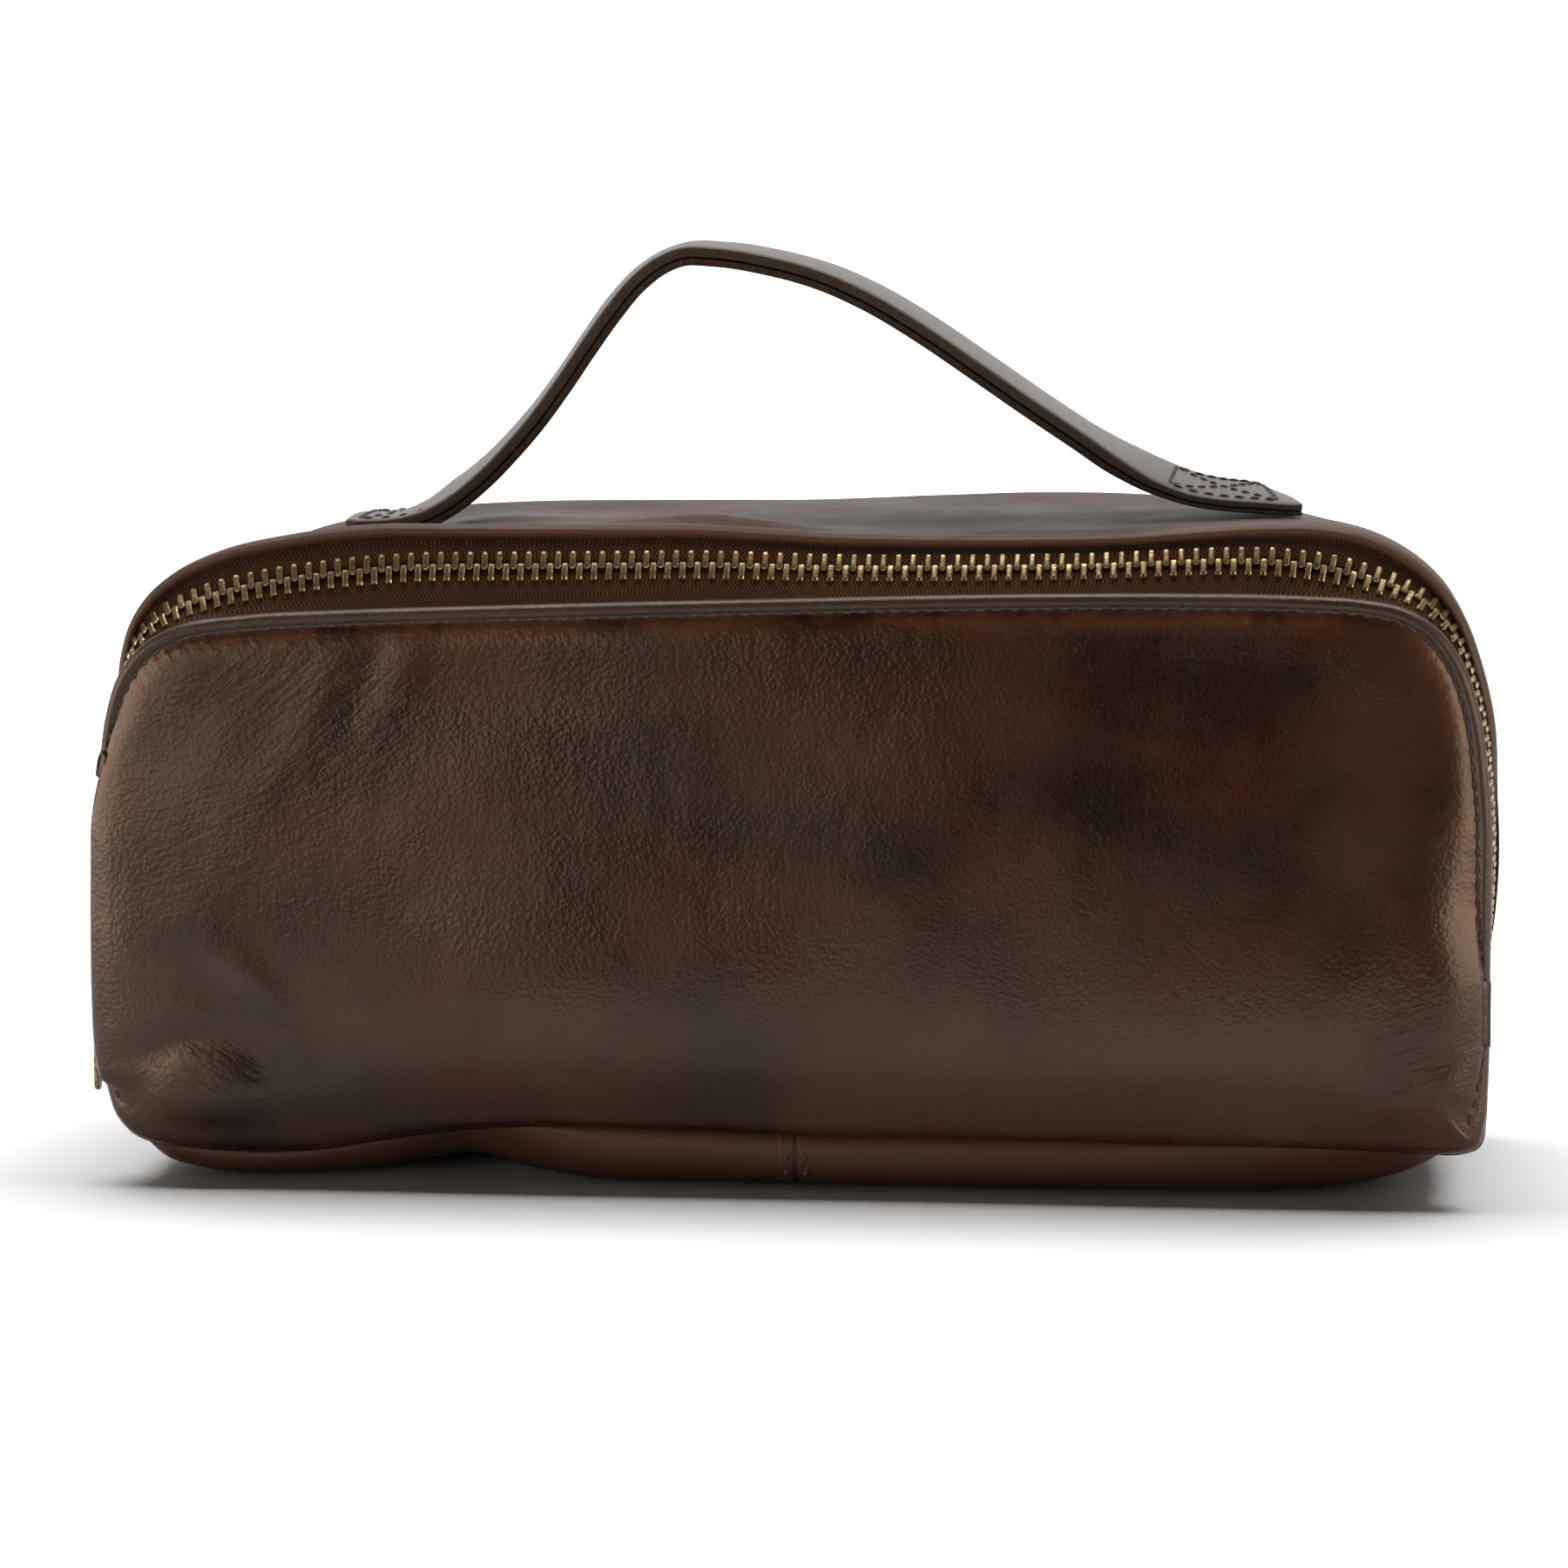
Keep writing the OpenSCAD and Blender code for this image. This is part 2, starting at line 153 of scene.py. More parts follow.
# Edge of the front panel, clockwise from the middle of the bottom. The left end has slumped.
RIM = ring_through([
    (0, 10.2), (-17, 10.7), (-34.5, 10.9), (-48, 10.9), (-60.8, 10.2), (-70.5, 9.0), (-80.6, 7.3),
    (-88, 6.0), (-95.4, 5.4), (-102, 5.2), (-109.5, 5.4), (-118.5, 6.2), (-124.6, 8.0),
    (-127.8, 11.4), (-129.4, 16.0), (-130.3, 22.0), (-130.6, 30.0), (-130.8, 40), (-130.8, 50), (-130.7, 60),
    (-130.6, 69), (-130.3, 77.5), (-129.1, 86.5), (-126.4, 94.6), (-122.0, 100.0), (-115.5, 103.6),
    (-103.6, 105.6), (-85.2, 106.8), (-66.9, 107.6), (-50.5, 108.2), (-26.1, 109.1), (-1.8, 109.9),
    (22.4, 110.7), (46.5, 111.3), (70.5, 111.6), (94.4, 111.4), (105, 110.8), (112.4, 109.3),
    (118.4, 105.6), (122.9, 99.4), (126.0, 90.4), (127.8, 77.6), (128.4, 70), (128.5, 61.7),
    (128.4, 45.6), (128.4, 29.5), (128.3, 21.5), (128.0, 15.0), (126.5, 10.2), (122.8, 9.0),
    (117.6, 9.1), (100, 9.6), (79.1, 9.8), (46.9, 10.1), (20, 10.2),
])

# Crest of the gusset's front roll, and the bottom's front contact line.
CREST_Y = -34.0
CREST = ring_through([
    (0, 0), (-20, 0), (-42, 0.2), (-53, 2.0), (-62, 4.0), (-71, 2.6), (-82, 0.8), (-98, 0.2),
    (-113.5, 0.6), (-121, 3.0), (-125.0, 8.0), (-127.4, 15), (-128.4, 24), (-128.7, 35), (-128.8, 50),
    (-128.9, 62), (-129.1, 76), (-129.3, 87), (-128.7, 96.6), (-126.9, 103.0), (-123.6, 108.2), (-118.3, 112.8),
    (-109.5, 117.0), (-96.0, 120.2), (-80, 122.2), (-66, 122.4), (-52.4, 122.5), (-35, 122.6),
    (-19.6, 122.7), (-6, 122.1), (6.5, 121.5), (20, 121.3), (38, 121.4), (61.5, 122.1),
    (74, 123.1), (86, 123.9), (97, 123.8), (106.4, 121.8), (112.4, 118.8), (118.4, 113.8),
    (122.8, 107.4), (126.2, 98.5), (128.6, 88), (129.2, 76), (129.2, 62), (128.4, 51), (127.0, 42), (126.2, 32),
    (125.4, 22), (123.8, 14.0), (119.6, 7.6), (113.2, 4.0), (105, 1.7), (92, 0.4), (60, 0), (30, 0),
])

# Crest of the gusset at its back seam.
BACK_Y = 35.0
BACK = ring_through([
    (0, 0), (-40, 0), (-80, 0), (-105, 0.4), (-116, 3.2), (-123, 9), (-126.6, 18), (-128, 32),
    (-128.4, 60), (-127.4, 84), (-123.6, 98), (-116.8, 108), (-107, 114.2), (-94, 118.0),
    (-78, 120.2), (-63, 121.2), (-35, 121.8), (-4.3, 122.2), (20, 123.3), (39.1, 124.0),
    (58, 123.8), (75, 122.6), (89.6, 120.2), (100, 117.2), (108.4, 112.8), (115.8, 105.8), (120.8, 96.6),
    (124.2, 82), (125.4, 60), (123.6, 34), (121.4, 18), (117.6, 9), (111, 3.8), (101, 0.6), (60, 0),
])

FRONT_X, FRONT_Z = RIM[:, 0], RIM[:, 1]
# How far a point of the outline belongs to the bottom, where the panel is sewn straight to the gusset.
AT_BOTTOM = ramp(FRONT_Z, 30, 15)
AT_TOP = ramp(CREST[:, 1], 95, 114)
# The gusset's front roll is deep along the top and flattens down the sides.
ROLL_DEPTH = 0.24 + 0.30 * ramp(FRONT_Z, 58, 98)

LEATHER_T = 1.5  # thickness of the shell's leather

# ---------------------------------------------------------------- meshes


def mesh_object(name, points, faces, smooth=True, lift=LIFT):
    """A mesh object from points in millimetres, with their rest place kept as the attribute "rest"."""
    mesh = bpy.data.meshes.new(name)
    points = np.asarray(points, float).reshape(-1, 3)
    mesh.from_pydata(((points + [0, 0, lift]) * MM).tolist(), [], faces)
    mesh.polygons.foreach_set("use_smooth", [smooth] * len(mesh.polygons))
    rest = mesh.attributes.new("rest", "FLOAT_VECTOR", "POINT")
    rest.data.foreach_set("vector", points.astype(np.float32).ravel())
    mesh.update()
    obj = bpy.data.objects.new(name, mesh)
    bpy.context.scene.collection.objects.link(obj)
    return obj


def surface(name, grid, closed=False, flip=False, edge=None, thick=0.0, weld=False, lift=LIFT):
    """A mesh over grid[v, u] of points. edge is (distance along, distance across) in millimetres for the
    UV map "edge"; a closed grid's distance along has one more column. thick gives it a back face."""
    rows, cols = grid.shape[:2]
    wide = cols if closed else cols - 1
    v, u = np.meshgrid(np.arange(rows - 1), np.arange(wide), indexing="ij")
    v, u = v.ravel(), u.ravel()
    corners = [(v, u), (v, u + 1), (v + 1, u + 1), (v + 1, u)]
    if flip:
        corners.reverse()
    faces = np.stack([a * cols + b % cols for a, b in corners], 1)
    obj = mesh_object(name, grid.reshape(-1, 3), faces.tolist(), lift=lift)
    if edge is not None:
        along, across = edge
        uv = obj.data.uv_layers.new(name="edge")
        data = np.stack([np.stack([along[a, b], across[a, b % cols]], 1) for a, b in corners], 1)
        uv.data.foreach_set("uv", data.astype(np.float32).ravel())
    if weld:
        modify(obj, "WELD", merge_threshold=1e-6)
    if thick:
        modify(obj, "SOLIDIFY", thickness=thick * MM, offset=-1.0, use_even_offset=False)
    return obj


def modify(obj, kind, **settings):
    """Adds a modifier and applies it."""
    m = obj.modifiers.new(kind.lower(), kind)
    for key, value in settings.items():
        setattr(m, key, value)
    graph = bpy.context.evaluated_depsgraph_get()
    made = bpy.data.meshes.new_from_object(obj.evaluated_get(graph), depsgraph=graph)
    obj.modifiers.clear()
    old, obj.data = obj.data, made
    bpy.data.meshes.remove(old)
    made.name = obj.name
    return obj


def copies(name, points, faces, places, smooth=True, lift=LIFT):
    """One mesh of many copies of a small shape. places are (origin, x axis, y axis, z axis)."""
    all_points, all_faces = [], []
    for n, (origin, ex, ey, ez) in enumerate(places):
        all_points.append(origin + points @ np.stack([ex, ey, ez]))
        all_faces += [[i + n * len(points) for i in f] for f in faces]
    return mesh_object(name, np.concatenate(all_points), all_faces, smooth, lift)


def chamfered(half_w, half_t, cut):
    """A rectangle's outline with its corners cut off, clockwise from the lower left."""
    return [(-half_w, -half_t + cut), (-half_w, half_t - cut), (-half_w + cut, half_t), (half_w - cut, half_t),
            (half_w, half_t - cut), (half_w, -half_t + cut), (half_w - cut, -half_t), (-half_w + cut, -half_t)]


def loft(sections):
    """Points and faces of a closed shape through sections, an array [section, point, xyz]."""
    rows, cols = sections.shape[:2]
    faces = [
        [r * cols + c, (r + 1) * cols + c, (r + 1) * cols + (c + 1) % cols, r * cols + (c + 1) % cols]
        for r in range(rows - 1)
        for c in range(cols)
    ]
    faces.append(list(range(cols)))
    faces.append(list(range((rows - 1) * cols, rows * cols))[::-1])
    return sections.reshape(-1, 3), faces


def unit(v):
    v = np.asarray(v, float)
    return v / np.maximum(np.linalg.norm(v, axis=-1, keepdims=True), 1e-9)


def frames_on(points, normals):
    """(origin, along, across, out) at each of a line's points, for copies()."""
    along = unit(np.gradient(points, axis=0))
    out = unit(normals - (normals * along).sum(1)[:, None] * along)
    return list(zip(points, along, np.cross(out, along), out))


# ---------------------------------------------------------------- materials


def node(tree, kind, values=None, **settings):
    made = tree.nodes.new(kind)
    for key, value in settings.items():
        setattr(made, key, value)
    for key, value in (values or {}).items():
        if isinstance(value, bpy.types.NodeSocket):
            tree.links.new(value, made.inputs[key])
        else:
            made.inputs[key].default_value = value
    return made


def math_node(tree, operation, a, b=0.0, c=0.0):
    return node(tree, "ShaderNodeMath", {0: a, 1: b, 2: c}, operation=operation).outputs[0]


def plus(tree, a, b):
    return math_node(tree, "ADD", a, b)


def times(tree, *values):
    product = values[0]
    for value in values[1:]:
        product = math_node(tree, "MULTIPLY", product, value)
    return product


def wave(tree, distance, pitch):
    """A sine that repeats every pitch millimetres of distance."""
    return math_node(tree, "SINE", times(tree, distance, 2 * math.pi / pitch))


def between(tree, value, low, high, to_low=0.0, to_high=1.0):
    return node(tree, "ShaderNodeMapRange", {
        "Value": value, "From Min": low, "From Max": high, "To Min": to_low, "To Max": to_high,
    }, interpolation_type="SMOOTHSTEP").outputs["Result"]


def band(tree, value, start, full, ebb, stop):
    """1 where value is from full to ebb, and 0 before start and after stop."""
    return times(tree, between(tree, value, start, full), between(tree, value, stop, ebb))


def blend_colour(tree, share, a, b):
    """a where share is 0 and b where it is 1."""
    made = node(tree, "ShaderNodeMix", data_type="RGBA")
    for index, value in ((0, share), (6, a), (7, b)):
        if isinstance(value, bpy.types.NodeSocket):
            tree.links.new(value, made.inputs[index])
        else:
            made.inputs[index].default_value = value if index == 0 else (*value, 1)
    return made.outputs[2]


def rest_place(tree, stretch=(1, 1, 1), turn=(0, 0, 0)):
    """The surface's rest place in millimetres."""
    place = node(tree, "ShaderNodeAttribute", attribute_name="rest").outputs["Vector"]
    return node(tree, "ShaderNodeMapping", {"Vector": place, "Scale": stretch, "Rotation": turn}).outputs[0]


def noise(tree, place, scale, detail=3.0, rough=0.5, warp=0.0):
    return node(tree, "ShaderNodeTexNoise", {
        "Vector": place, "Scale": scale, "Detail": detail, "Roughness": rough, "Distortion": warp,
    }).outputs["Fac"]


def bump(tree, height, depth_mm, below=None):
    values = {"Height": height, "Distance": depth_mm * MM, "Strength": 1.0}
    if below is not None:
        values["Normal"] = below
    return node(tree, "ShaderNodeBump", values).outputs["Normal"]


def edge_place(tree):
    """(distance along, distance across) of the "edge" map, in millimetres."""
    uv = node(tree, "ShaderNodeUVMap", uv_map="edge").outputs["UV"]
    parts = node(tree, "ShaderNodeSeparateXYZ", {"Vector": uv})
    return parts.outputs["X"], parts.outputs["Y"]


def new_material(name):
    material = bpy.data.materials.new(name)
    material.use_nodes = True
    tree = material.node_tree
    shader = next(n for n in tree.nodes if n.type == "BSDF_PRINCIPLED")
    return material, tree, shader


SOCKET_NAMES = {
    "colour": "Base Color", "rough": "Roughness", "normal": "Normal", "metal": "Metallic", "sheen": "Sheen Weight",
    "specular": "Specular IOR Level", "tint": "Specular Tint", "glow": "Emission Strength",
    "glow_colour": "Emission Color",
}


def join(tree, shader, **sockets):
    """Links or sets the shader's inputs, under the short names above."""
    for key, value in sockets.items():
        if isinstance(value, bpy.types.NodeSocket):
            tree.links.new(value, shader.inputs[SOCKET_NAMES[key]])
        else:
            shader.inputs[SOCKET_NAMES[key]].default_value = value


STITCH_STEP = 3.1

LEATHER_DARK = (0.0120, 0.0040, 0.0022)
LEATHER_RED = (0.0420, 0.0100, 0.0042)
LEATHER_BROWN = (0.0560, 0.0230, 0.0105)
LEATHER_WORN = (0.1150, 0.0420, 0.0180)
LEATHER_ROLL = (0.0750, 0.0270, 0.0120)  # the gusset's edge beside the zipper
LEATHER_RIM = (0.0260, 0.0120, 0.0085)   # the panel's edge outside its stitches
# painted shade: near-black laid into the panel's stitch groove and the gusset's centre seam, where shade falls
SEAM_GROOVE_SHADE = (0.0050, 0.0022, 0.0015)
LEATHER_ROUGH = {"panel": (0.25, 0.33), "gusset": (0.54, 0.64)}
LEATHER_SPECULAR = {"panel": 0.38, "gusset": 0.34}
LEATHER_RIPPLE = {"panel": 0.16, "gusset": 0.10}
SHEEN_TINT = (1.0, 0.84, 0.70, 1.0)  # the glaze is warm

# Fine creases of the front panel: x, z, radius, the way they run in degrees, depth
CREASES = [(-90, 92, 30, 38, 1.0), (-106, 62, 24, 20, 0.6), (-108, 20, 24, -35, 0.9), (116, 24, 20, 15, 0.9)]
CREASES_Y = -50


def creases(tree, place):
    """Height of the fine creases where the leather has been folded."""
    total = 0.0
    for x, z, radius, degrees, depth in CREASES:
        from_centre = node(tree, "ShaderNodeVectorMath", {0: place, 1: (x, CREASES_Y, z)}, operation="DISTANCE")
        near = between(tree, from_centre.outputs["Value"], radius, 0.2 * radius)
        run = rest_place(tree, (1, 1, 1), (0, math.radians(degrees), 0))
        run = node(tree, "ShaderNodeMapping", {"Vector": run, "Scale": (0.16, 0.16, 1.0)}).outputs[0]
        lines = between(tree, noise(tree, run, 0.75, 3.0, 0.55, 0.5), 0.40, 0.60)
        total = plus(tree, total, times(tree, lines, near, depth))
    return total


def panel_wear_and_groove_shade(tree, place, mottle, pucker, colour, rough, normal):
    """The panel's edge: a darker rim, the groove of its stitches darkened with painted shade, and rubbed leather
    inside it. All three fade out towards the bottom, where the edge is turned under."""
    across = edge_place(tree)[1]
    height = node(tree, "ShaderNodeSeparateXYZ", {"Vector": place}).outputs["Z"]
    shown = between(tree, height, 30.0, 58.0)
    patchy = between(tree, mottle, 0.35, 0.62, 0.15, 1.0)
    worn = times(tree, band(tree, across, 3.4, 4.6, 4.9, 10.0), patchy, shown)
    rim = times(tree, between(tree, across, 3.6, 2.6), shown)
    groove_shade = times(tree, band(tree, across, 3.0, 3.6, 3.8, 4.4), shown)
    colour = blend_colour(tree, times(tree, worn, 0.9), colour, LEATHER_WORN)
    colour = blend_colour(tree, times(tree, rim, 0.75), colour, LEATHER_RIM)
    # painted shade: the stitch groove darkened almost to black
    colour = blend_colour(tree, times(tree, groove_shade, 0.85), colour, SEAM_GROOVE_SHADE)
    rough = plus(tree, rough, times(tree, rim, 0.12))
    normal = bump(tree, times(tree, pucker, band(tree, across, 3.0, 4.2, 4.6, 9.0)), 0.030, normal)
    normal = bump(tree, creases(tree, place), 0.05, normal)
    return colour, rough, normal


def gusset_wear_and_seam_shade(tree, place, colour, normal):
    """The gusset's rubbed roll beside the zipper, and the centre seam in the bottom's front, its groove darkened with
    painted shade.
    """
    across = edge_place(tree)[1]
    colour = blend_colour(tree, times(tree, between(tree, across, 6.5, 4.0), 0.85), colour, LEATHER_ROLL)
    parts = node(tree, "ShaderNodeSeparateXYZ", {"Vector": place})
    side = math_node(tree, "ABSOLUTE", parts.outputs["X"])
    under = between(tree, parts.outputs["Z"], 20.0, 14.0)
    seam = times(tree, between(tree, side, 0.7, 0.25), under)
    allowance = times(tree, between(tree, side, 3.2, 2.6), under)
    # painted shade: the centre seam's groove darkened almost to black; the bump below gives its real relief
    colour = blend_colour(tree, times(tree, seam, 0.9), colour, SEAM_GROOVE_SHADE)
    relief = math_node(tree, "SUBTRACT", times(tree, allowance, 0.5), seam)
    return colour, bump(tree, relief, 0.70, normal)


def leather(name, kind):
    """Glazed calf leather. kind is "panel" or "gusset", for the wear that its edges show."""
    material, tree, shader = new_material(name)
    place = rest_place(tree)
    cloud = noise(tree, place, 0.016, 4.0, 0.55)
    red = noise(tree, rest_place(tree, (1, 1, 1.6)), 0.024, 3.0, 0.5)
    mottle = noise(tree, place, 0.11, 5.0, 0.6)
    colour = blend_colour(tree, between(tree, red, 0.40, 0.64), LEATHER_DARK, LEATHER_RED)
    colour = blend_colour(tree, between(tree, cloud, 0.44, 0.70), colour, LEATHER_BROWN)
    colour = blend_colour(tree, between(tree, mottle, 0.35, 0.75, 0.0, 0.35), colour, LEATHER_RED)

    cells = node(tree, "ShaderNodeTexVoronoi", {"Vector": place, "Scale": 1.25, "Smoothness": 0.6},
                 feature="SMOOTH_F1").outputs["Distance"]
    pebble = times(tree, between(tree, cells, 0.75, 0.15),
                   between(tree, noise(tree, place, 0.035, 2.0), 0.30, 0.70, 0.6, 1.0))
    ripple = noise(tree, rest_place(tree, (1.0, 1.0, 0.6)), 0.12, 2.0, 0.5)
    normal = bump(tree, ripple, LEATHER_RIPPLE[kind])
    rough = between(tree, noise(tree, place, 0.05, 4.0, 0.6), 0.3, 0.7, *LEATHER_ROUGH[kind])
    if kind == "panel":
        uneven = between(tree, noise(tree, place, 0.09, 3.0), 0.35, 0.65, 0.15, 1.0)
        pucker = times(tree, wave(tree, edge_place(tree)[0], STITCH_STEP), uneven)
        colour, rough, normal = panel_wear_and_groove_shade(tree, place, mottle, pucker, colour, rough, normal)
    else:
        colour, normal = gusset_wear_and_seam_shade(tree, place, colour, normal)
    normal = bump(tree, pebble, 0.034, normal)
    join(tree, shader, colour=colour, rough=rough, normal=normal, specular=LEATHER_SPECULAR[kind], tint=SHEEN_TINT)
    return material


def strap_leather(name, under=False):
    """Thick bridle leather: smooth on top, with a darker burnished fleck on its cut edges."""
    material, tree, shader = new_material(name)
    place = rest_place(tree)
    mottle = noise(tree, place, 0.12, 5.0, 0.6)
    colour = blend_colour(tree, between(tree, mottle, 0.35, 0.7), (0.020, 0.0090, 0.0060), (0.046, 0.021, 0.0125))
    cut = between(tree, edge_place(tree)[1], 0.35, 0.75)
    fibre = noise(tree, rest_place(tree, (1, 1, 2.2)), 0.9, 6.0, 0.75)
    fleck = between(tree, noise(tree, place, 0.55, 5.0, 0.75), 0.60, 0.70)
    raw = blend_colour(tree, between(tree, fibre, 0.35, 0.70), (0.012, 0.0056, 0.0032), (0.046, 0.022, 0.0105))
    raw = blend_colour(tree, times(tree, fleck, 0.6), raw, (0.22, 0.13, 0.060))
    colour = blend_colour(tree, cut, colour, raw)
    grain = node(tree, "ShaderNodeTexVoronoi", {"Vector": place, "Scale": 1.3},
                 feature="DISTANCE_TO_EDGE").outputs["Distance"]
    normal = bump(tree, between(tree, grain, 0.0, 0.3), 0.020)
    normal = bump(tree, times(tree, fibre, cut), 0.35, normal)
    rough = blend_colour(tree, cut, (0.42,) * 3, (0.85,) * 3)
    join(tree, shader, colour=colour, rough=rough, normal=normal, specular=0.25 if under else 0.40, tint=SHEEN_TINT)
    return material


def tape_cloth(name):
    """Woven zipper tape with a herringbone twill."""
    material, tree, shader = new_material(name)
    along, across = edge_place(tree)
    rib = math_node(tree, "PINGPONG", across, 1.15)
    twill = wave(tree, plus(tree, along, times(tree, rib, 0.8)), 0.78)
    place = rest_place(tree)
    fuzz = noise(tree, place, 2.5, 4.0, 0.7)
    high = between(tree, plus(tree, twill, times(tree, fuzz, 0.8)), -0.8, 1.4)
    colour = blend_colour(tree, high, (0.0120, 0.0042, 0.0016), (0.115, 0.047, 0.0175))
    faded = between(tree, noise(tree, place, 0.2, 3.0), 0.3, 0.7, 0.0, 0.35)
    colour = blend_colour(tree, faded, colour, (0.032, 0.0115, 0.0050))
    join(tree, shader, colour=colour, rough=0.95, normal=bump(tree, high, 0.16), specular=0.1)
    return material


def brass(name):
    """Antique brass: bright where rubbed, dark brown in the hollows."""
    material, tree, shader = new_material(name)
    place = rest_place(tree)
    patina = noise(tree, place, 0.9, 5.0, 0.7)
    colour = blend_colour(tree, between(tree, patina, 0.38, 0.62), (0.27, 0.20, 0.105), (0.105, 0.072, 0.036))
    scratch = noise(tree, rest_place(tree, (0.5, 5, 5)), 1.4, 4.0, 0.7)
    rough = between(tree, patina, 0.3, 0.7, 0.26, 0.46)
    join(tree, shader, colour=colour, rough=rough, normal=bump(tree, scratch, 0.02), metal=1.0)
    return material


def cloth(name, light, dark, pitch):
    """Plain woven cotton."""
    material, tree, shader = new_material(name)
    place = rest_place(tree)
    parts = node(tree, "ShaderNodeSeparateXYZ", {"Vector": place})
    warp, weft = (wave(tree, plus(tree, parts.outputs[axis], parts.outputs["Y"]), pitch) for axis in "XZ")
    weave = times(tree, warp, weft)
    slub = noise(tree, place, 0.5, 4.0, 0.6)
    colour = blend_colour(tree, between(tree, plus(tree, weave, slub), -0.6, 1.6), dark, light)
    join(tree, shader, colour=colour, rough=0.9, normal=bump(tree, weave, 0.08), sheen=0.3)
    return material


def thread(name):
    """Dark waxed thread."""
    material, tree, shader = new_material(name)
    twist = math_node(tree, "SINE", times(tree, noise(tree, rest_place(tree, (3, 1, 1)), 1.5, 2.0), 20.0))
    colour = blend_colour(tree, between(tree, twist, -1, 1), (0.008, 0.0035, 0.0025), (0.028, 0.013, 0.0085))
    join(tree, shader, colour=colour, rough=0.55, normal=bump(tree, twist, 0.05))
    return material


MATERIALS = {
    "panel": leather("shell_leather_panel", "panel"),
    "gusset": leather("shell_leather_gusset", "gusset"),
    "back": leather("shell_leather_back", "panel"),
    "strap": strap_leather("strap_leather"),
    "strap_under": strap_leather("strap_leather_flesh", under=True),
    "tape": tape_cloth("zipper_tape"),
    "brass": brass("antique_brass"),
    "lining": cloth("lining_fabric", (0.30, 0.22, 0.13), (0.12, 0.08, 0.045), 0.9),
    "thread": thread("sewing_thread"),
}


def finish_piece(obj, look, body, *nodes):
    """Gives a piece its material and slot and hides the CAD nodes it stands for. A body name parents it to that body;
    anything else, such as (a, b, start, end), only has its transform baked in.
    """
    obj.data.materials.clear()
    obj.data.materials.append(MATERIALS[look])
    if nodes:
        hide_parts(*nodes)
    if isinstance(body, str):
        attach(obj, body)
    else:
        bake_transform(obj)
    return obj


FLAP = ("bag", "front_flap", (0, -0.045, 0.0090), (0, -0.045, 0.0180))
ARCH = ("bag", "handle", (0, 0, 0.129), (0, 0, 0.141))

# ---------------------------------------------------------------- front panel

# Each profile runs from the sewn edge inwards as (distance out of the edge line, y).
SEWN = [
    (-0.6, -44.3), (0.0, -44.7), (0.30, -45.4), (0.30, -46.1), (0.0, -46.8), (-0.45, -47.3),
    (-1.0, -47.5), (-1.5, -47.4), (-2.0, -47.05), (-2.4, -46.75), (-2.8, -46.85), (-3.3, -47.2),
    (-4.2, -47.6), (-5.6, -48.0), (-7.6, -48.35), (-10.2, -48.6), (-13.2, -48.85), (-16.6, -49.05),
]
TURNED = [
    (0.5, -44.2), (0.1, -44.6), (-0.15, -45.3), (-0.2, -46.1), (-0.25, -46.9), (-0.6, -47.6),
    (-1.2, -48.2), (-2.0, -48.6), (-2.7, -48.85), (-3.4, -49.05), (-4.1, -49.2), (-5.0, -49.35),
    (-6.1, -49.5), (-7.6, -49.65), (-9.4, -49.8), (-11.6, -49.95), (-14.2, -50.1), (-17.2, -50.2),
]
SAGGED = [
    (-0.8, -44.3), (-0.1, -44.7), (0.15, -45.2), (0.20, -45.7), (0.0, -46.1), (-0.2, -46.4),
    (-0.4, -46.6), (-0.4, -46.75), (-0.25, -46.9), (0.1, -47.1), (0.65, -47.45), (1.1, -48.0),
    (1.35, -48.75), (0.95, -49.75), (-0.6, -50.8), (-3.2, -51.7), (-7.6, -52.4), (-15.2, -52.8),
]
PROFILE_D = np.array([0, 0.3, 0.7, 1.2, 1.7, 2.2, 2.7, 3.1, 3.4, 3.8, 4.3, 5.0, 6.0, 7.4, 9.2, 11.5, 14.2, 17.2])
INNER_ROWS = 34


def panel_height(x, z):
    """How far the middle of the front panel stands out, as y."""
    y = hermite(z, [0, 12, 22, 34, 46, 58, 72, 86, 98, 112],
                [-49.4, -50.6, -52.0, -52.8, -52.6, -51.8, -50.6, -49.3, -48.1, -46.8])
    y = y + 1.3 * np.clip((-35 - x) / 95, 0, 1.2) ** 2 + 1.6 * np.clip((x - 62) / 66, 0, 1.2) ** 2
    y = y + 0.40 * np.sin(x / 23 + 0.6) * np.sin(z / 21 + 0.4) + 0.12 * np.sin(x / 9.7 - z / 14 + 1.2)
    return y


def lump(x, z, cx, cz, long, short, turn, height):
    """A soft ridge (height < 0 is a hollow) at cx, cz, its long side turned by degrees."""
    a = math.radians(turn)
    p = (x - cx) * math.cos(a) + (z - cz) * math.sin(a)
    q = -(x - cx) * math.sin(a) + (z - cz) * math.cos(a)
    return height * np.exp(-((p / long) ** 2) - (q / short) ** 2)


LUMPS = [
    # x, z, long, short, turn, height
    (-88, 92, 16, 4.5, 58, 0.34), (-80, 94, 14, 3.6, 66, -0.30), (-96, 84, 18, 5.0, 45, -0.28),
    (-73, 97, 8, 3.5, 60, 0.26), (-108, 74, 20, 8, 30, 0.30), (-62, 74, 26, 12, 40, 0.30),
    (-112, 52, 18, 8, 60, 0.30), (-99, 37, 13, 3.4, -42, 0.75), (-91, 31, 14, 4.0, -42, -0.55),
    (117, 20, 10, 2.8, 20, 0.45), (120, 27, 12, 2.8, 35, -0.40), (112, 13, 12, 2.4, 8, 0.35),
    (108, 33, 18, 5.0, 62, -0.40), (116, 46, 18, 6, 70, 0.40), (107, 97, 8, 5, -30, 0.55),
    (-40, 38, 34, 12, 12, 0.35), (30, 70, 30, 16, -15, 0.3), (70, 48, 26, 14, 30, -0.35),
    (-10, 92, 40, 8, 4, 0.2), (50, 93, 30, 7, -6, 0.2),
]
POUCH = (-110.5, 15.0, 12.8)  # x, z and radius of the slack lower left corner


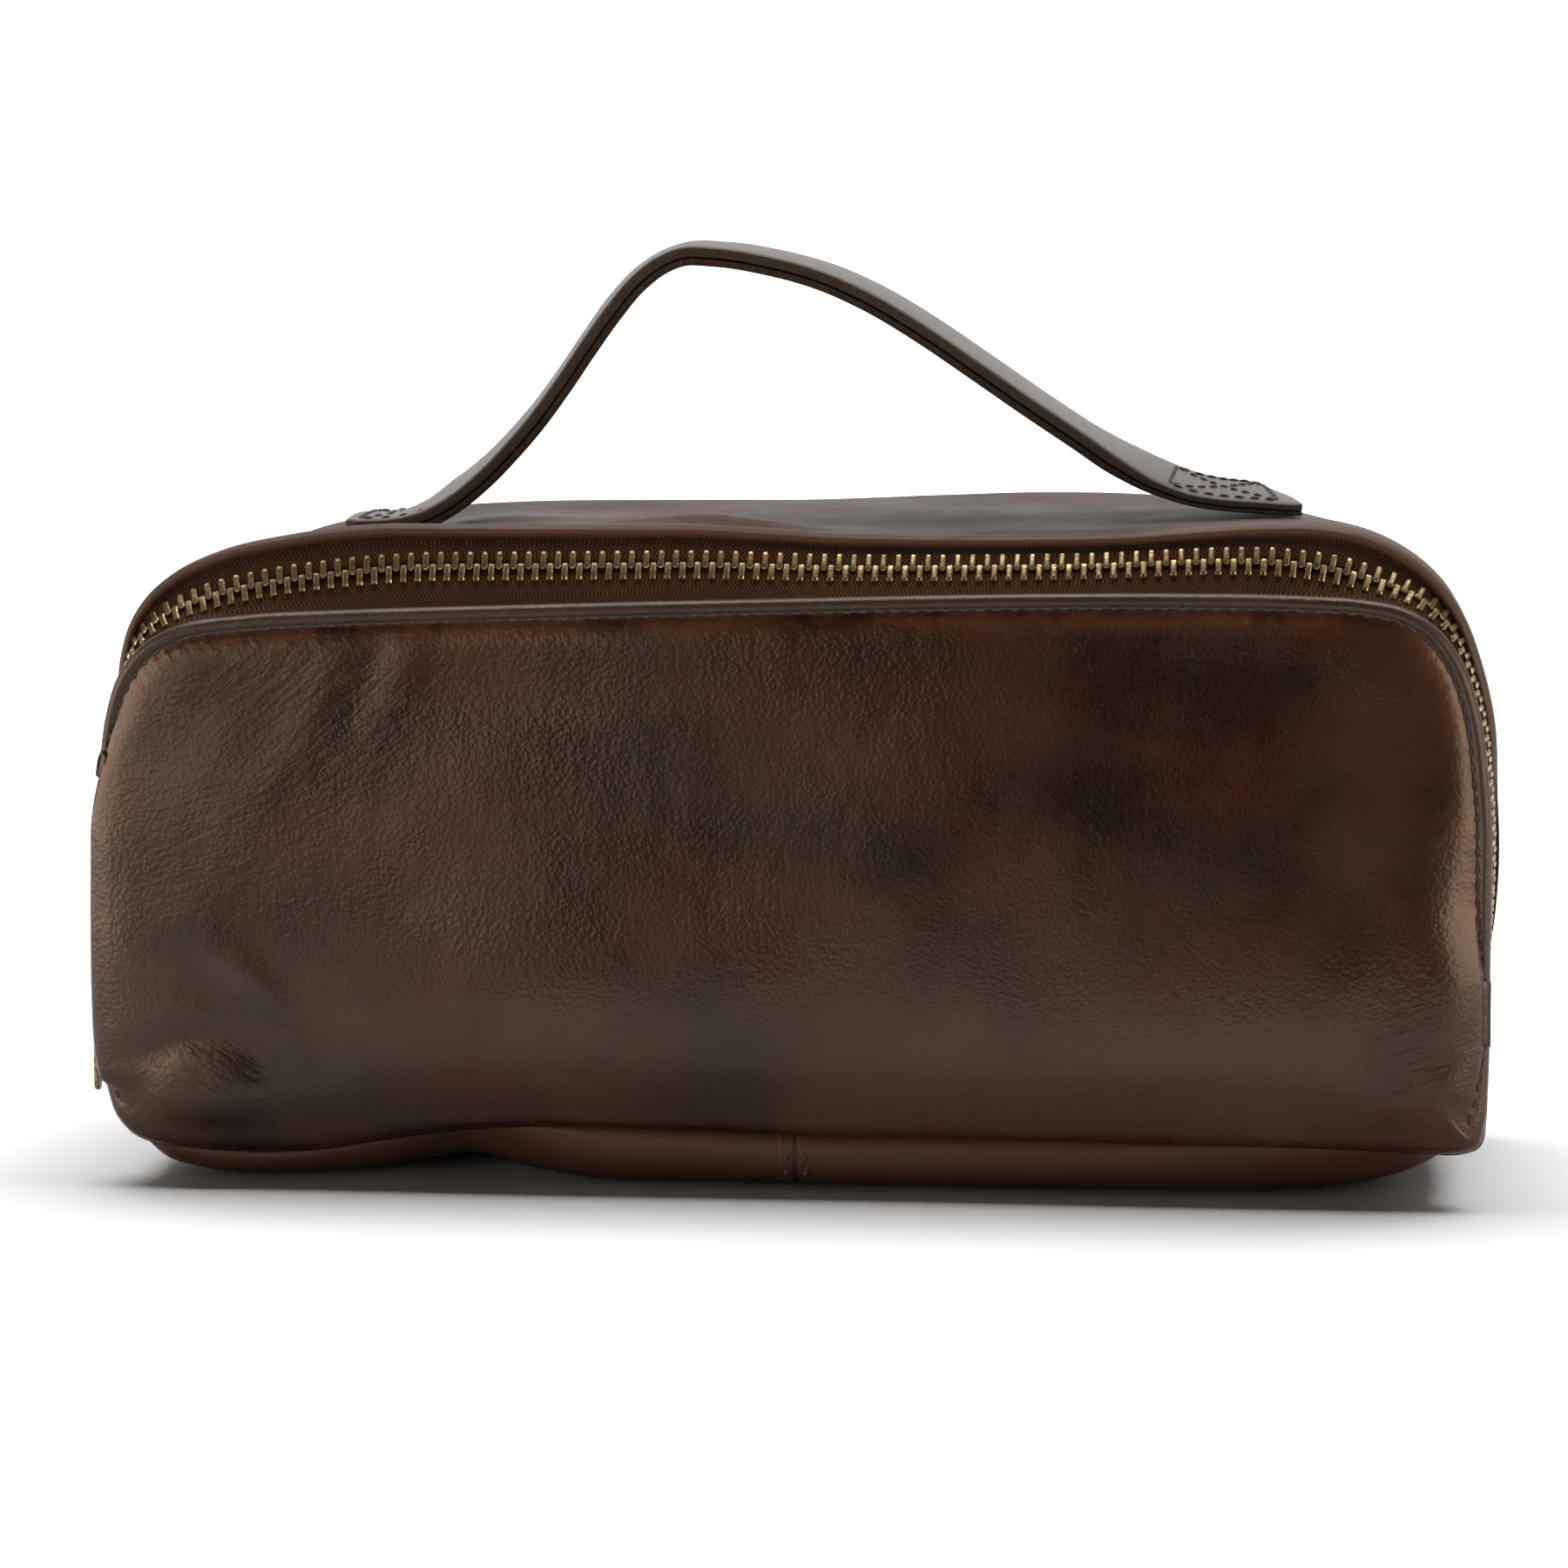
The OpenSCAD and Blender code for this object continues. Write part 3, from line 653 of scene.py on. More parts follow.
def pouch(x, z):
    """Slack leather that hangs at the lower left, with the crease that ends it above and to the right."""
    cx, cz, r = POUCH
    away = np.hypot((x - cx) / 1.05, (z - cz) / 0.88)
    turn = np.degrees(np.arctan2(z - cz, x - cx))
    upper_right = ramp(turn, -50, -15) * ramp(turn, 165, 120)
    dome = 2.3 * np.exp(-((away / r) ** 3.0))
    crease = -0.45 * np.exp(-(((away - r * 1.08) / 2.8) ** 2)) * upper_right
    shoulder = 0.4 * np.exp(-(((away - r * 1.5) / 4.0) ** 2)) * upper_right
    return dome + crease + shoulder


def front_panel_grid():
    """The panel's points [row from the edge inwards, ring], and each row's distance from the edge."""
    sag = AT_SAG[:, None]
    down = (AT_BOTTOM * (1 - 0.9 * AT_SAG))[:, None]
    sewn, turned, sagged = (np.array(p).T[:, None, :] for p in (SEWN, TURNED, SAGGED))
    out, y = (sewn[i] * (1 - sag) + sagged[i] * sag for i in (0, 1))
    out, y = (a * (1 - down) + turned[i] * down for i, a in ((0, out), (1, y)))
    near, far = outward(RIM), outward(RIM, 22)
    rows = []
    for k, d in enumerate(PROFILE_D):
        direction = unit(near * (1 - ramp(d, 1, 9)) + far * ramp(d, 1, 9))
        xz = RIM + direction * out[:, k, None]
        rows.append(at_y(xz, y[:, k]))
    last = rows[-1]
    for t in np.linspace(0, 1, INNER_ROWS + 1)[1:]:
        rows.append(last * (1 - t) + CORE * t)
    grid = np.stack(rows)
    depth = np.concatenate([PROFILE_D, PROFILE_D[-1] + np.linspace(0, 40, INNER_ROWS + 1)[1:]])
    x, z = grid[..., 0], grid[..., 2]
    sewn_rows = len(PROFILE_D)
    step = panel_height(last[:, 0], last[:, 2]) - last[:, 1]
    grid[:sewn_rows, :, 1] += ramp(PROFILE_D, 1.0, 16.0)[:, None] * step
    grid[sewn_rows:, :, 1] = panel_height(x[sewn_rows:], z[sewn_rows:])
    relief = sum(lump(x, z, *values) for values in LUMPS) + pouch(x, z)
    grid[..., 1] -= relief * ramp(depth, 3.6, 9.0)[:, None]
    return grid, depth


# How far the edge has slumped over its seam: wholly at the left, in part low at the right.
AT_SAG = np.where(FRONT_X < 0, ramp(FRONT_Z, 98, 64), 0.55 * ramp(FRONT_Z, 58, 40)) * ramp(FRONT_Z, 8, 20)
FRONT, FRONT_DEPTH = front_panel_grid()
panel = surface("front_panel_leather", FRONT, closed=True, flip=True, edge=ring_map(RIM, FRONT_DEPTH),
                thick=LEATHER_T, weld=True)
finish_piece(panel, "panel", FLAP, "front_panel")

# ---------------------------------------------------------------- gusset

ROLL = [  # (out of the crest line, y) from the sewn edge to the crest
    (-4.9, -35.4), (-4.3, -36.2), (-3.6, -36.9), (-2.7, -37.3), (-1.8, -37.3), (-1.0, -36.9),
    (-0.4, -36.2), (-0.08, -35.2), (0.0, -34.0),
]
ROLL_D = np.array([0, 1.0, 1.9, 2.9, 3.8, 4.7, 5.6, 6.6, 7.8])
FULLNESS = hermite(FRONT_X, [-128, -112, -90, -72, -62, -50, -30, 0, 40, 70, 100, 128],
                   [1.5, 2.3, 2.4, 1.7, 1.1, 1.7, 2.6, 3.2, 3.0, 2.2, 1.6, 1.5])
GUSSET_Y = np.array([-32.6, -31, -29, -26.5, -23.5, -20, -16, -12, -8, -4, 0, 4, 8, 12, 16, 20, 24, 28, 32, BACK_Y])
TOP_SAG = ([-130, -92, -78, -64, -45, -19, 6, 45, 70, 90, 130],  # x, and how far the top hangs there
           [1.5, 3.4, 3.5, 1.8, 1.3, 0.9, 0.6, 0.4, -0.2, 0.0, 1.0])
PANEL_SEAM_Y = -44.3


def gusset_grid():
    """The band's points [row from front to back, ring]: front roll, band, and the allowance of the back seam."""
    n = outward(CREST)
    rows = []
    for k, (out, y) in enumerate(ROLL):
        rolled = CREST + n * (out * ROLL_DEPTH)[:, None]
        turn = math.pi / 2 * k / (len(ROLL) - 1)
        power = 2 / FULLNESS
        drop = (math.sin(turn) ** power)[:, None]
        back = 1 - math.cos(turn) ** power if k < len(ROLL) - 1 else np.ones(RING)
        start = RIM + outward(RIM) * -0.2
        low = start * (1 - drop) + CREST * drop
        low_y = PANEL_SEAM_Y + (CREST_Y - PANEL_SEAM_Y) * back - 0.9 * math.sin(2 * turn) * ramp(FULLNESS, 1.3, 2.8)
        xz = rolled * (1 - AT_BOTTOM[:, None]) + low * AT_BOTTOM[:, None]
        rows.append(at_y(xz, y * (1 - AT_BOTTOM) + low_y * AT_BOTTOM))
    for y in GUSSET_Y:
        t = ramp(y, CREST_Y, BACK_Y)
        xz = CREST * (1 - t) + BACK * t
        normal = unit(outward(CREST, 3) * (1 - t) + outward(BACK, 3) * t)
        x = xz[:, 0]
        belly = math.sin(math.pi * (y - CREST_Y) / (BACK_Y - CREST_Y))
        sag = hermite(x, *TOP_SAG)
        swell = 1.9 * np.exp(-((x + 17 - (y + 26) * 1.8) / 15) ** 2 - ((y + 26) / 6) ** 2)
        swell += 0.7 * np.sin(x / 13 + y / 17) * belly
        dip = -0.55 * math.exp(-(((y + 31) / 2.2) ** 2))
        top = AT_TOP * (-sag * belly ** 0.7 + swell + dip)
        side = (1 - AT_TOP) * ramp(xz[:, 1], 12, 30)
        fold = -1.6 * belly + 0.8 * np.sin(y / 9 + xz[:, 1] / 16) * belly
        fold += 0.5 * np.sin(xz[:, 1] / 7 - y / 11) * belly
        xz = xz + normal * (top + side * fold)[:, None]
        stands = 1.5 * LIFT * AT_BOTTOM * ramp(y, CREST_Y, -20) * ramp(y, BACK_Y, 22)
        xz[:, 1] = np.maximum(xz[:, 1] - stands, -LIFT)
        rows.append(at_y(xz, y))
    n = outward(BACK)
    for out, y in [(-0.25, 37.2), (-0.8, 39.2), (-1.5, 40.9), (-2.4, 42.2), (-3.4, 42.9)]:
        xz = BACK + n * out
        rows.append(at_y(xz, y))
    return np.stack(rows)


GUSSET = gusset_grid()
GUSSET_D = np.concatenate([ROLL_D, ROLL_D[-1] + GUSSET_Y - CREST_Y, [80, 82, 84, 86, 88]])
gusset = surface("gusset_leather", GUSSET, closed=True, edge=ring_map(CREST, GUSSET_D), thick=LEATHER_T)
finish_piece(gusset, "gusset", "bag", "gusset_band")

# ---------------------------------------------------------------- back panel

BACK_PROFILE = [
    (-3.2, 43.0), (-2.2, 43.3), (-1.3, 43.9), (-0.8, 44.6), (-0.9, 45.3), (-1.6, 45.9), (-2.8, 46.3),
    (-4.6, 46.6), (-7.0, 46.9), (-10.0, 47.1), (-14.0, 47.3),
]


BACK_ROWS = 24


def back_panel_grid(profile, middle_y):
    """The panel's points [row from the edge inwards, ring]."""
    near, far = outward(BACK), outward(BACK, 22)
    rows = []
    for out, y in profile:
        direction = unit(near * (1 - ramp(-out, 1, 9)) + far * ramp(-out, 1, 9))
        xz = BACK + direction * out
        rows.append(at_y(xz, y))
    last = rows[-1]
    for t in np.linspace(0, 1, BACK_ROWS + 1)[1:]:
        row = last * (1 - t) + CORE * t
        x, z = row[:, 0], row[:, 2]
        swell = 0.5 * np.sin(x / 27 + 1) * np.sin(z / 19) + 0.3 * np.sin(x / 11 + z / 13)
        row[:, 1] = profile[-1][1] + (middle_y - profile[-1][1] + swell) * ramp(t, 0, 0.8)
        rows.append(row)
    return np.stack(rows)


BACK_GRID = back_panel_grid(BACK_PROFILE, 47.6)
BACK_D = np.concatenate([[-p[0] for p in BACK_PROFILE], np.linspace(14, 54, BACK_ROWS + 1)[1:]])
back = surface("back_panel_leather", BACK_GRID, closed=True, edge=ring_map(BACK, BACK_D), thick=LEATHER_T, weld=True)
finish_piece(back, "back", "bag", "back_panel")

# ---------------------------------------------------------------- zipper

CHAIN_SHARE = 0.56       # where the teeth mesh, from the panel's edge to the gusset's
ZIP_LOW = 20.4           # the tapes' cut ends
ZIP = np.flatnonzero((FRONT_Z > ZIP_LOW) & (np.arange(RING) > 0))
TAPE_T = 0.7
FRONT_TAPE_Y, REAR_TAPE_Y = -44.0, -36.0  # where the two tapes are sewn


def zip_line(share):
    """Points across the gap between panel and gusset, for the ring's part that has the zipper. At the left
    side the chain runs nearer the panel, where the slider waits."""
    drift = 0.13 * ramp(FRONT_Z, 96, 76) * (FRONT_X < 0)
    share = (share - drift * math.sin(math.pi * min(max(share, 0.0), 1.0)))[:, None]
    front = RIM + outward(RIM) * -0.6
    rear = CREST + outward(CREST) * (-4.3 * ROLL_DEPTH)[:, None]
    return (at_y(front, FRONT_TAPE_Y) * (1 - share) + at_y(rear, REAR_TAPE_Y) * share)[ZIP]


def zip_normals():
    across = unit(zip_line(0.7) - zip_line(0.5))
    along = unit(np.gradient(zip_line(CHAIN_SHARE), axis=0))
    n = np.cross(along, across)
    out = outward(RIM)[ZIP]
    sign = np.sign((n[:, [0, 2]] * out).sum(1))[:, None]
    return n * sign


CHAIN = zip_line(CHAIN_SHARE)
CHAIN_OUT = zip_normals()
CHAIN_S = distances(CHAIN)


def tape(name, start, stop, body, cad_node):
    """A tape from one share of the gap to another."""
    shares = np.linspace(start, stop, 8)
    grid = np.stack([zip_line(s) + CHAIN_OUT * TAPE_T / 2 for s in shares])
    width = np.linalg.norm(grid[-1] - grid[0], axis=1).mean()
    along = np.broadcast_to(CHAIN_S, grid.shape[:2])
    across = np.broadcast_to(np.linspace(0, width, 8)[:, None], grid.shape[:2])
    obj = surface(name, grid, edge=(along, across), thick=TAPE_T)
    return finish_piece(obj, "tape", body, cad_node)


tape("zipper_tape_front", -0.12, CHAIN_SHARE - 0.05, "front_flap", "zip_tape_front")
tape("zipper_tape_rear", CHAIN_SHARE + 0.05, 1.12, "bag", "zip_tape_rear")


def tooth_shape():
    """A cast tooth: jaws over the tape's edge, a waist, and a head that spreads where the rows mesh."""
    across = [-3.10, -2.95, -2.4, -1.3, -0.6, 0.0, 0.42, 0.62]
    half_w = [0.40, 0.56, 0.58, 0.54, 0.58, 0.67, 0.66, 0.46]
    half_t = [0.70, 0.98, 1.10, 1.14, 1.14, 1.10, 1.02, 0.80]
    sections = [[(x, y, z) for x, z in chamfered(w, t, 0.24)] for y, w, t in zip(across, half_w, half_t)]
    return loft(np.array(sections))


TOOTH_PITCH = 2.76


def on_chain(s):
    """(origin, along, across, out) at distances s along the chain."""
    origin = np.stack([np.interp(s, CHAIN_S, CHAIN[:, i]) for i in range(3)], 1)
    tangent = unit(np.stack([np.interp(s, CHAIN_S, g) for g in np.gradient(CHAIN, axis=0).T], 1))
    out = unit(np.stack([np.interp(s, CHAIN_S, CHAIN_OUT[:, i]) for i in range(3)], 1))
    across = unit(np.cross(out, tangent))
    sign = np.sign(across[:, 1])[:, None]
    return origin, tangent, across * sign, out


def teeth(name, side, first, body, cad_node):
    points, faces = tooth_shape()
    if side < 0:
        points = points * [1, -1, 1]
        faces = [f[::-1] for f in faces]
    s = np.arange(first, CHAIN_S[-1] - 11.0, TOOTH_PITCH)
    origin, along, across, out = on_chain(s)
    obj = copies(name, points, faces, zip(origin, along, across, out), smooth=False)
    return finish_piece(obj, "brass", body, cad_node)


SLIDER_Z = 34.0
SLIDER_S = float(np.interp(SLIDER_Z, CHAIN[: len(CHAIN) // 3, 2], CHAIN_S[: len(CHAIN) // 3]))
TEETH_START = SLIDER_S - 2.0
teeth("zipper_teeth_front", 1, TEETH_START + 0.25 * TOOTH_PITCH, "front_flap", "zip_teeth_front")
teeth("zipper_teeth_rear", -1, TEETH_START + 0.75 * TOOTH_PITCH, "bag", "zip_teeth_rear")

# ---------------------------------------------------------------- slider, pull and stops


def plate(name, outlines, thick, bevel):
    """A flat piece from closed outlines (x, y); the second and later ones are holes. It lies in z from 0 up."""
    curve = bpy.data.curves.new(name, "CURVE")
    curve.dimensions, curve.fill_mode, curve.resolution_u = "2D", "BOTH", 8
    curve.extrude, curve.bevel_depth, curve.bevel_resolution = thick / 2 - bevel, bevel, 2
    curve.offset = -bevel
    for outline in outlines:
        spline = curve.splines.new("POLY")
        spline.points.add(len(outline) - 1)
        for point, (x, y) in zip(spline.points, outline):
            point.co = (x, y, 0, 1)
        spline.use_cyclic_u = True
    holder = bpy.data.objects.new(name, curve)
    bpy.context.scene.collection.objects.link(holder)
    graph = bpy.context.evaluated_depsgraph_get()
    graph.update()
    mesh = bpy.data.meshes.new_from_object(holder.evaluated_get(graph), depsgraph=graph)
    points = np.array([v.co for v in mesh.vertices]) + [0, 0, thick / 2]
    faces = [list(f.vertices) for f in mesh.polygons]
    bpy.data.objects.remove(holder)
    bpy.data.curves.remove(curve)
    return points, faces


def arc(cx, cy, r, start, stop, steps):
    a = np.radians(np.linspace(start, stop, steps))
    return [(cx + r * math.cos(t), cy + r * math.sin(t)) for t in a]


def mirrored(half):
    """A closed outline from its upper half."""
    return half + [(x, -y) for x, y in half[::-1]]


def box_strip(path, width, thick):
    """A bent strip along path (x, z), centred on y 0, with rounded long edges."""
    path = np.array(path, float)
    t = unit(np.gradient(path, axis=0))
    n = np.stack([-t[:, 1], t[:, 0]], 1)
    outline = chamfered(width / 2, thick / 2, 0.28 * thick)
    sections = [[(p[0] + d[0] * h, y, p[1] + d[1] * h) for y, h in outline] for p, d in zip(path, n)]
    return loft(np.array(sections))


def merged(parts):
    """Several (points, faces) as one."""
    points, faces, start = [], [], 0
    for p, f in parts:
        points.append(p)
        faces += [[i + start for i in face] for face in f]
        start += len(p)
    return np.concatenate(points), faces


SLIDER_AT = np.array([-129.2, -40.5, SLIDER_Z])
TILT = math.radians(3.18)
SLIDER_AXES = (np.array([0, 0, 1.0]), np.array([-math.sin(TILT), math.cos(TILT), 0]),
               np.array([-math.cos(TILT), -math.sin(TILT), 0]))
PULL_AXIS = 3.3  # the pull's cross bar, out from the chain


def slider_parts():
    """Two shields joined by a wedge, flanges along their sides, and the bridge that holds the pull."""
    shield = mirrored(arc(3.6, 2.4, 1.9, 0, 90, 7) + arc(-4.2, 1.7, 1.3, 90, 180, 7))
    points, faces = plate("shield", [shield], 0.95, 0.22)
    upper = (points + [0, 0, 1.35], faces)
    lower = (points * [1, 1, -1] - [0, 0, 1.35], [f[::-1] for f in faces])
    rails = []
    for side in (-1, 1):
        p, f = box_strip([(x, 1.05) for x in (-5.2, -3.0, 0, 3.0, 4.6)], 0.75, 0.9)
        half_gap = np.interp(p[:, 0], [-5.2, -2, 3, 4.6], [2.55, 3.35, 3.95, 3.6])
        bow = np.array([0, 1, 0]) * (half_gap * side)[:, None]
        rails += [(p + bow, f), ((p + bow) * [1, 1, -1], [x[::-1] for x in f])]
    wedge = box_strip([(3.0, 0), (5.3, 0)], 1.5, 2.9)
    rise = [(3.9, 2.1), (3.75, 3.0), (3.2, 3.7), (2.2, 4.02)]
    arch = [(-x, z) for x, z in rise] + [(0, 4.1)] + rise[::-1]
    return merged([upper, lower, *rails, wedge, box_strip(arch, 1.9, 0.5)])


def pull_parts():
    """The pull hangs down the chain from its cross bar: two arms round the bridge, then a tapered tab."""
    outer = arc(-0.55, 2.1, 1.2, 0, 90, 6) + [(-5.5, 3.3), (-7.2, 2.75)] + arc(-14.7, 0, 2.65, 105, 255, 14)
    outer += [(-7.2, -2.75), (-5.5, -3.3)] + arc(-0.55, -2.1, 1.2, -90, 0, 6)
    eye = mirrored(arc(-0.75 - 0.4, 1.15, 0.5, 0, 90, 5) + arc(-4.6, 1.15, 0.5, 90, 180, 5))
    tie = arc(-14.0, 0, 1.2, 0, 345, 24)
    points, faces = plate("pull", [outer, eye, tie], 0.9, 0.22)
    return points + [0, 0, PULL_AXIS - 0.45], faces


for name, parts, body in (("zipper_slider", slider_parts(), "zip_slider"), ("zipper_pull", pull_parts(), "zip_pull")):
    made = copies(name, *parts, [(SLIDER_AT, *SLIDER_AXES)], smooth=False, lift=0.0)
    finish_piece(made, "brass", body, body)  # each is the only CAD node of its body, and has its name


def clip_parts(length, side):
    """A stop pinched over a tape's edge: a small strap bent round it."""
    a = np.radians(np.linspace(-90, 90, 9))
    bend = [(-2.6, -0.85)] + [(-1.0 + 0.95 * math.cos(t), 0.85 * math.sin(t)) for t in a] + [(-2.6, 0.85)]
    points, faces = box_strip(bend, length, 0.5)
    points = np.stack([points[:, 1], points[:, 0] * side, points[:, 2]], 1)
    return points, faces


for name, s, side, length, body in (
    ("zip_top_stop_front", SLIDER_S - 7.0, 1, 1.4, "front_flap"),
    ("zip_top_stop_rear", SLIDER_S - 7.0, -1, 1.4, "bag"),
    ("zip_bottom_stop", CHAIN_S[-1] - 9.5, -1, 2.2, "bag"),
):
    place = [[v[0] for v in on_chain(np.array([s]))]]
    stop = copies(name.replace("zip_", "zipper_"), *clip_parts(length, side), place, smooth=False)
    finish_piece(stop, "brass", body, name)


# ---------------------------------------------------------------- handle

STRAP_LINE = [
    (-90, 121.0), (-85.5, 121.1), (-80.3, 121.5), (-74.9, 122.9), (-69.7, 125.8), (-64.5, 130.0),
    (-59.4, 135.2), (-54.4, 141.0), (-49.4, 147.8), (-44.5, 155.0), (-39.7, 161.7), (-35.0, 167.3),
    (-30.4, 171.0), (-25.7, 173.0), (-19, 173.0), (-9.1, 171.5), (1, 168.8), (11, 164.4), (21, 158.5),
    (31, 151.8), (41, 145.0), (51, 138.4), (58, 133.6), (64, 130.0), (70, 127.7), (76, 126.7),
    (83, 126.2), (91.5, 125.7),
]
STRAP_W = 25.0
UPPER_PLY, LOWER_PLY = 2.0, 1.6
GLUE_GAP = 0.05    # from the plies' joint to each of their faces there
STRAP_LEAN = 3.0   # the left rise is turned a little to the front: its back edge stands out by this much
TAB_RAISED = 2.3   # and so is the right tab, by this much
TAB_SLANT = 6.0    # its end is cut on a slant
CROWN = 0.35       # the strap's middle stands this far above its edges


def tab_raised(x):
    """How far the strap's back edge is raised at x by the right tab's tilt."""
    return TAB_RAISED * ramp(x, 48, 66) * ramp(x, 96, 84)


def strap_ply(top, bottom, name, look, nodes):
    """One ply of the strap, between two depths under its upper face, as a rounded slab."""
    line = np.array(STRAP_LINE)
    length = distances(line)
    s = np.linspace(0, length[-1], 260)
    xz = hermite(s, length, line)
    t = unit(np.gradient(xz, axis=0))
    n = np.stack([-t[:, 1], t[:, 0]], 1)
    half = STRAP_W / 2 - 2.4 * ramp(3.0 - np.minimum(s, s[-1] - s), 0, 3.0) ** 2
    lean = STRAP_LEAN * ramp(xz[:, 0], -84, -70) * ramp(xz[:, 0], -22, -42)
    raised = tab_raised(xz[:, 0])
    slant = -TAB_SLANT * ramp(s, s[-1] - 24, s[-1])
    skived = 1 - 0.36 * ramp(xz[:, 0], 54, 70)
    edge_r = 0.35
    # Each is (share of half width, depth, how far it belongs to the cut edge).
    rim = [(0.99, top + edge_r * 0.5, 0.6), (1.0, top + edge_r, 1.0), (1.0, (top + bottom) / 2, 1.0),
           (1.0, bottom - edge_r * 0.6, 1.0), (0.99, bottom - 0.1, 1.0)]
    outline = [(w * 0.965, top, 0.0) for w in np.linspace(-1, 1, 15)] + rim
    outline += [(w * 0.965, bottom, 0.0) for w in np.linspace(1, -1, 15)]
    outline += [(-share, depth, raw) for share, depth, raw in rim[::-1]]
    rows, cut = [], []
    for share, depth, raw in outline:
        crown = CROWN * (1 - share**2)
        back = (share + 1) / 2
        place = xz + n * (crown - depth * skived + back * lean)[:, None]
        place += back * np.stack([slant, raised], 1)
        rows.append(at_y(place, half * share))
        cut.append(np.full(len(s), raw))
    rows.append(rows[0])
    cut.append(cut[0])
    grid = np.stack(rows)
    cut = np.stack(cut)
    along = np.broadcast_to(s, cut.shape)
    obj = surface(name, grid, edge=(along, cut), weld=True)
    cap_ends(obj)
    return finish_piece(obj, look, ARCH, *nodes)


def cap_ends(obj):
    """Closes the two open ends of a tube."""
    bm = bmesh.new()
    bm.from_mesh(obj.data)
    rims = [e for e in bm.edges if e.is_boundary]
    bmesh.ops.holes_fill(bm, edges=rims)
    bmesh.ops.recalc_face_normals(bm, faces=bm.faces)
    bm.to_mesh(obj.data)
    bm.free()


strap_ply(0.0, UPPER_PLY - GLUE_GAP, "handle_upper_ply", "strap",
          ["handle_strap", "handle_tab_left", "handle_tab_right"])
strap_ply(UPPER_PLY + GLUE_GAP, UPPER_PLY + LOWER_PLY, "handle_lower_ply", "strap_under", ["handle_strap_lining"])

# ---------------------------------------------------------------- stitches


STITCH_W = 0.80


def stitch_shape(length, width, height):
    """A short thread that bows out of the leather and dives in at both ends."""
    sections = []
    for t in np.linspace(-1, 1, 7):
        swell = max(1 - t**4, 0.12) ** 0.5
        rise = height * (0.35 - 0.9 * t * t)
        ring = []
        for a in np.linspace(0, 2 * math.pi, 6, endpoint=False):
            ring.append((t * length / 2, math.cos(a) * width / 2 * swell, rise + math.sin(a) * height / 2 * swell))
        sections.append(ring)
    return loft(np.array(sections))


def grid_normals(grid):
    """Normals of a grid that is closed round the ring."""
    du = np.roll(grid, -1, 1) - np.roll(grid, 1, 1)
    dv = np.gradient(grid, axis=0)
    return unit(np.cross(du, dv))


def stitch_row(name, line, normals, body, cad_node, length=2.45, height=0.50):
    """Stitches at even steps along a line."""
    s = distances(line)
    at = np.arange(STITCH_STEP / 2, s[-1] - STITCH_STEP / 2, STITCH_STEP)
    points = np.stack([np.interp(at, s, line[:, i]) for i in range(3)], 1)
    out = unit(np.stack([np.interp(at, s, normals[:, i]) for i in range(3)], 1))
    obj = copies(name, *stitch_shape(length, STITCH_W, height), frames_on(points, out))
    finish_piece(obj, "thread", body, cad_node)


# The panel's grid row in the groove of its stitches, and the part of the ring above the turned edge.
GROOVE = int(np.argmin(abs(PROFILE_D - 3.4))) + 1
front_normals = -grid_normals(FRONT)
edge_part = np.flatnonzero(FRONT_Z > 13)
stitch_row("front_edge_stitches", FRONT[GROOVE][edge_part], front_normals[GROOVE][edge_part],
           "front_flap", "front_edge_stitches")

gusset_normals = grid_normals(GUSSET)
SEAM_HALF = 2  # columns of the gusset's grid from its centre seam to each stitch row
for side, c in (("left", SEAM_HALF), ("right", -SEAM_HALF)):
    stitch_row(f"seam_stitches_{side}", GUSSET[1:-4, c], gusset_normals[1:-4, c],
               "bag", "bottom_seam_stitches", length=2.2, height=0.42)


def strap_points(xs, ys):
    """Points on the strap's upper face and its normals there."""
    line = np.array(STRAP_LINE)
    z = hermite(xs, line[:, 0], line[:, 1])
    slope = (hermite(xs + 0.2, line[:, 0], line[:, 1]) - z) / 0.2
    crown = CROWN * (1 - (ys / (STRAP_W / 2)) ** 2)
    normal = unit(np.stack([-slope, np.zeros_like(xs), np.ones_like(xs)], 1))
    back = (ys / (STRAP_W / 2) + 1) / 2
    z = z + crown + tab_raised(xs) * back
    x = xs - TAB_SLANT * ramp(xs, 68, 91.5) * back
    return np.stack([x, ys, z], 1), normal


def tab_stitches(name, near, far, node_name):
    """A stitched box with a cross in it, from x near to x far."""
    half = 9.4
    corners = [(near, -half), (far, -half), (far, half), (near, half)]
    runs = [(0, 1), (1, 2), (2, 3), (3, 0), (0, 2), (1, 3)]
    places = []
    for (x0, y0), (x1, y1) in ((corners[a], corners[b]) for a, b in runs):
        count = max(2, round(math.hypot(x1 - x0, y1 - y0) / STITCH_STEP))
        t = (np.arange(count) + 0.5) / count
        points, normals = strap_points(x0 + (x1 - x0) * t, y0 + (y1 - y0) * t)
        places += frames_on(points, normals)
    obj = copies(name, *stitch_shape(2.5, 0.85, 0.50), places)
    finish_piece(obj, "thread", "bag", node_name)


tab_stitches("tab_stitches_right", 66.5, 87.5, "handle_stitches_right")
tab_stitches("tab_stitches_left", -87.5, -74.0, "handle_stitches_left")

# ---------------------------------------------------------------- inside

LINING_T = 0.4
LINING_GAP = 2.4
WRINKLE = 0.25
INSIDE_FACE = 1.56  # pieces glued to the gusset's inner face lie this deep


def wrinkles(grid):
    x, y, z = grid[..., 0], grid[..., 1], grid[..., 2]
    return WRINKLE * (np.sin(x / 7.3 + z / 11) * np.sin(z / 8.1 - y / 6.7) + 0.5 * np.sin((x + z) / 3.9 + y / 5))


def shifted(grid, gap):
    """grid moved in y by gap and by its wrinkles."""
    moved = grid.copy()
    moved[..., 1] += gap + wrinkles(grid)
    return moved


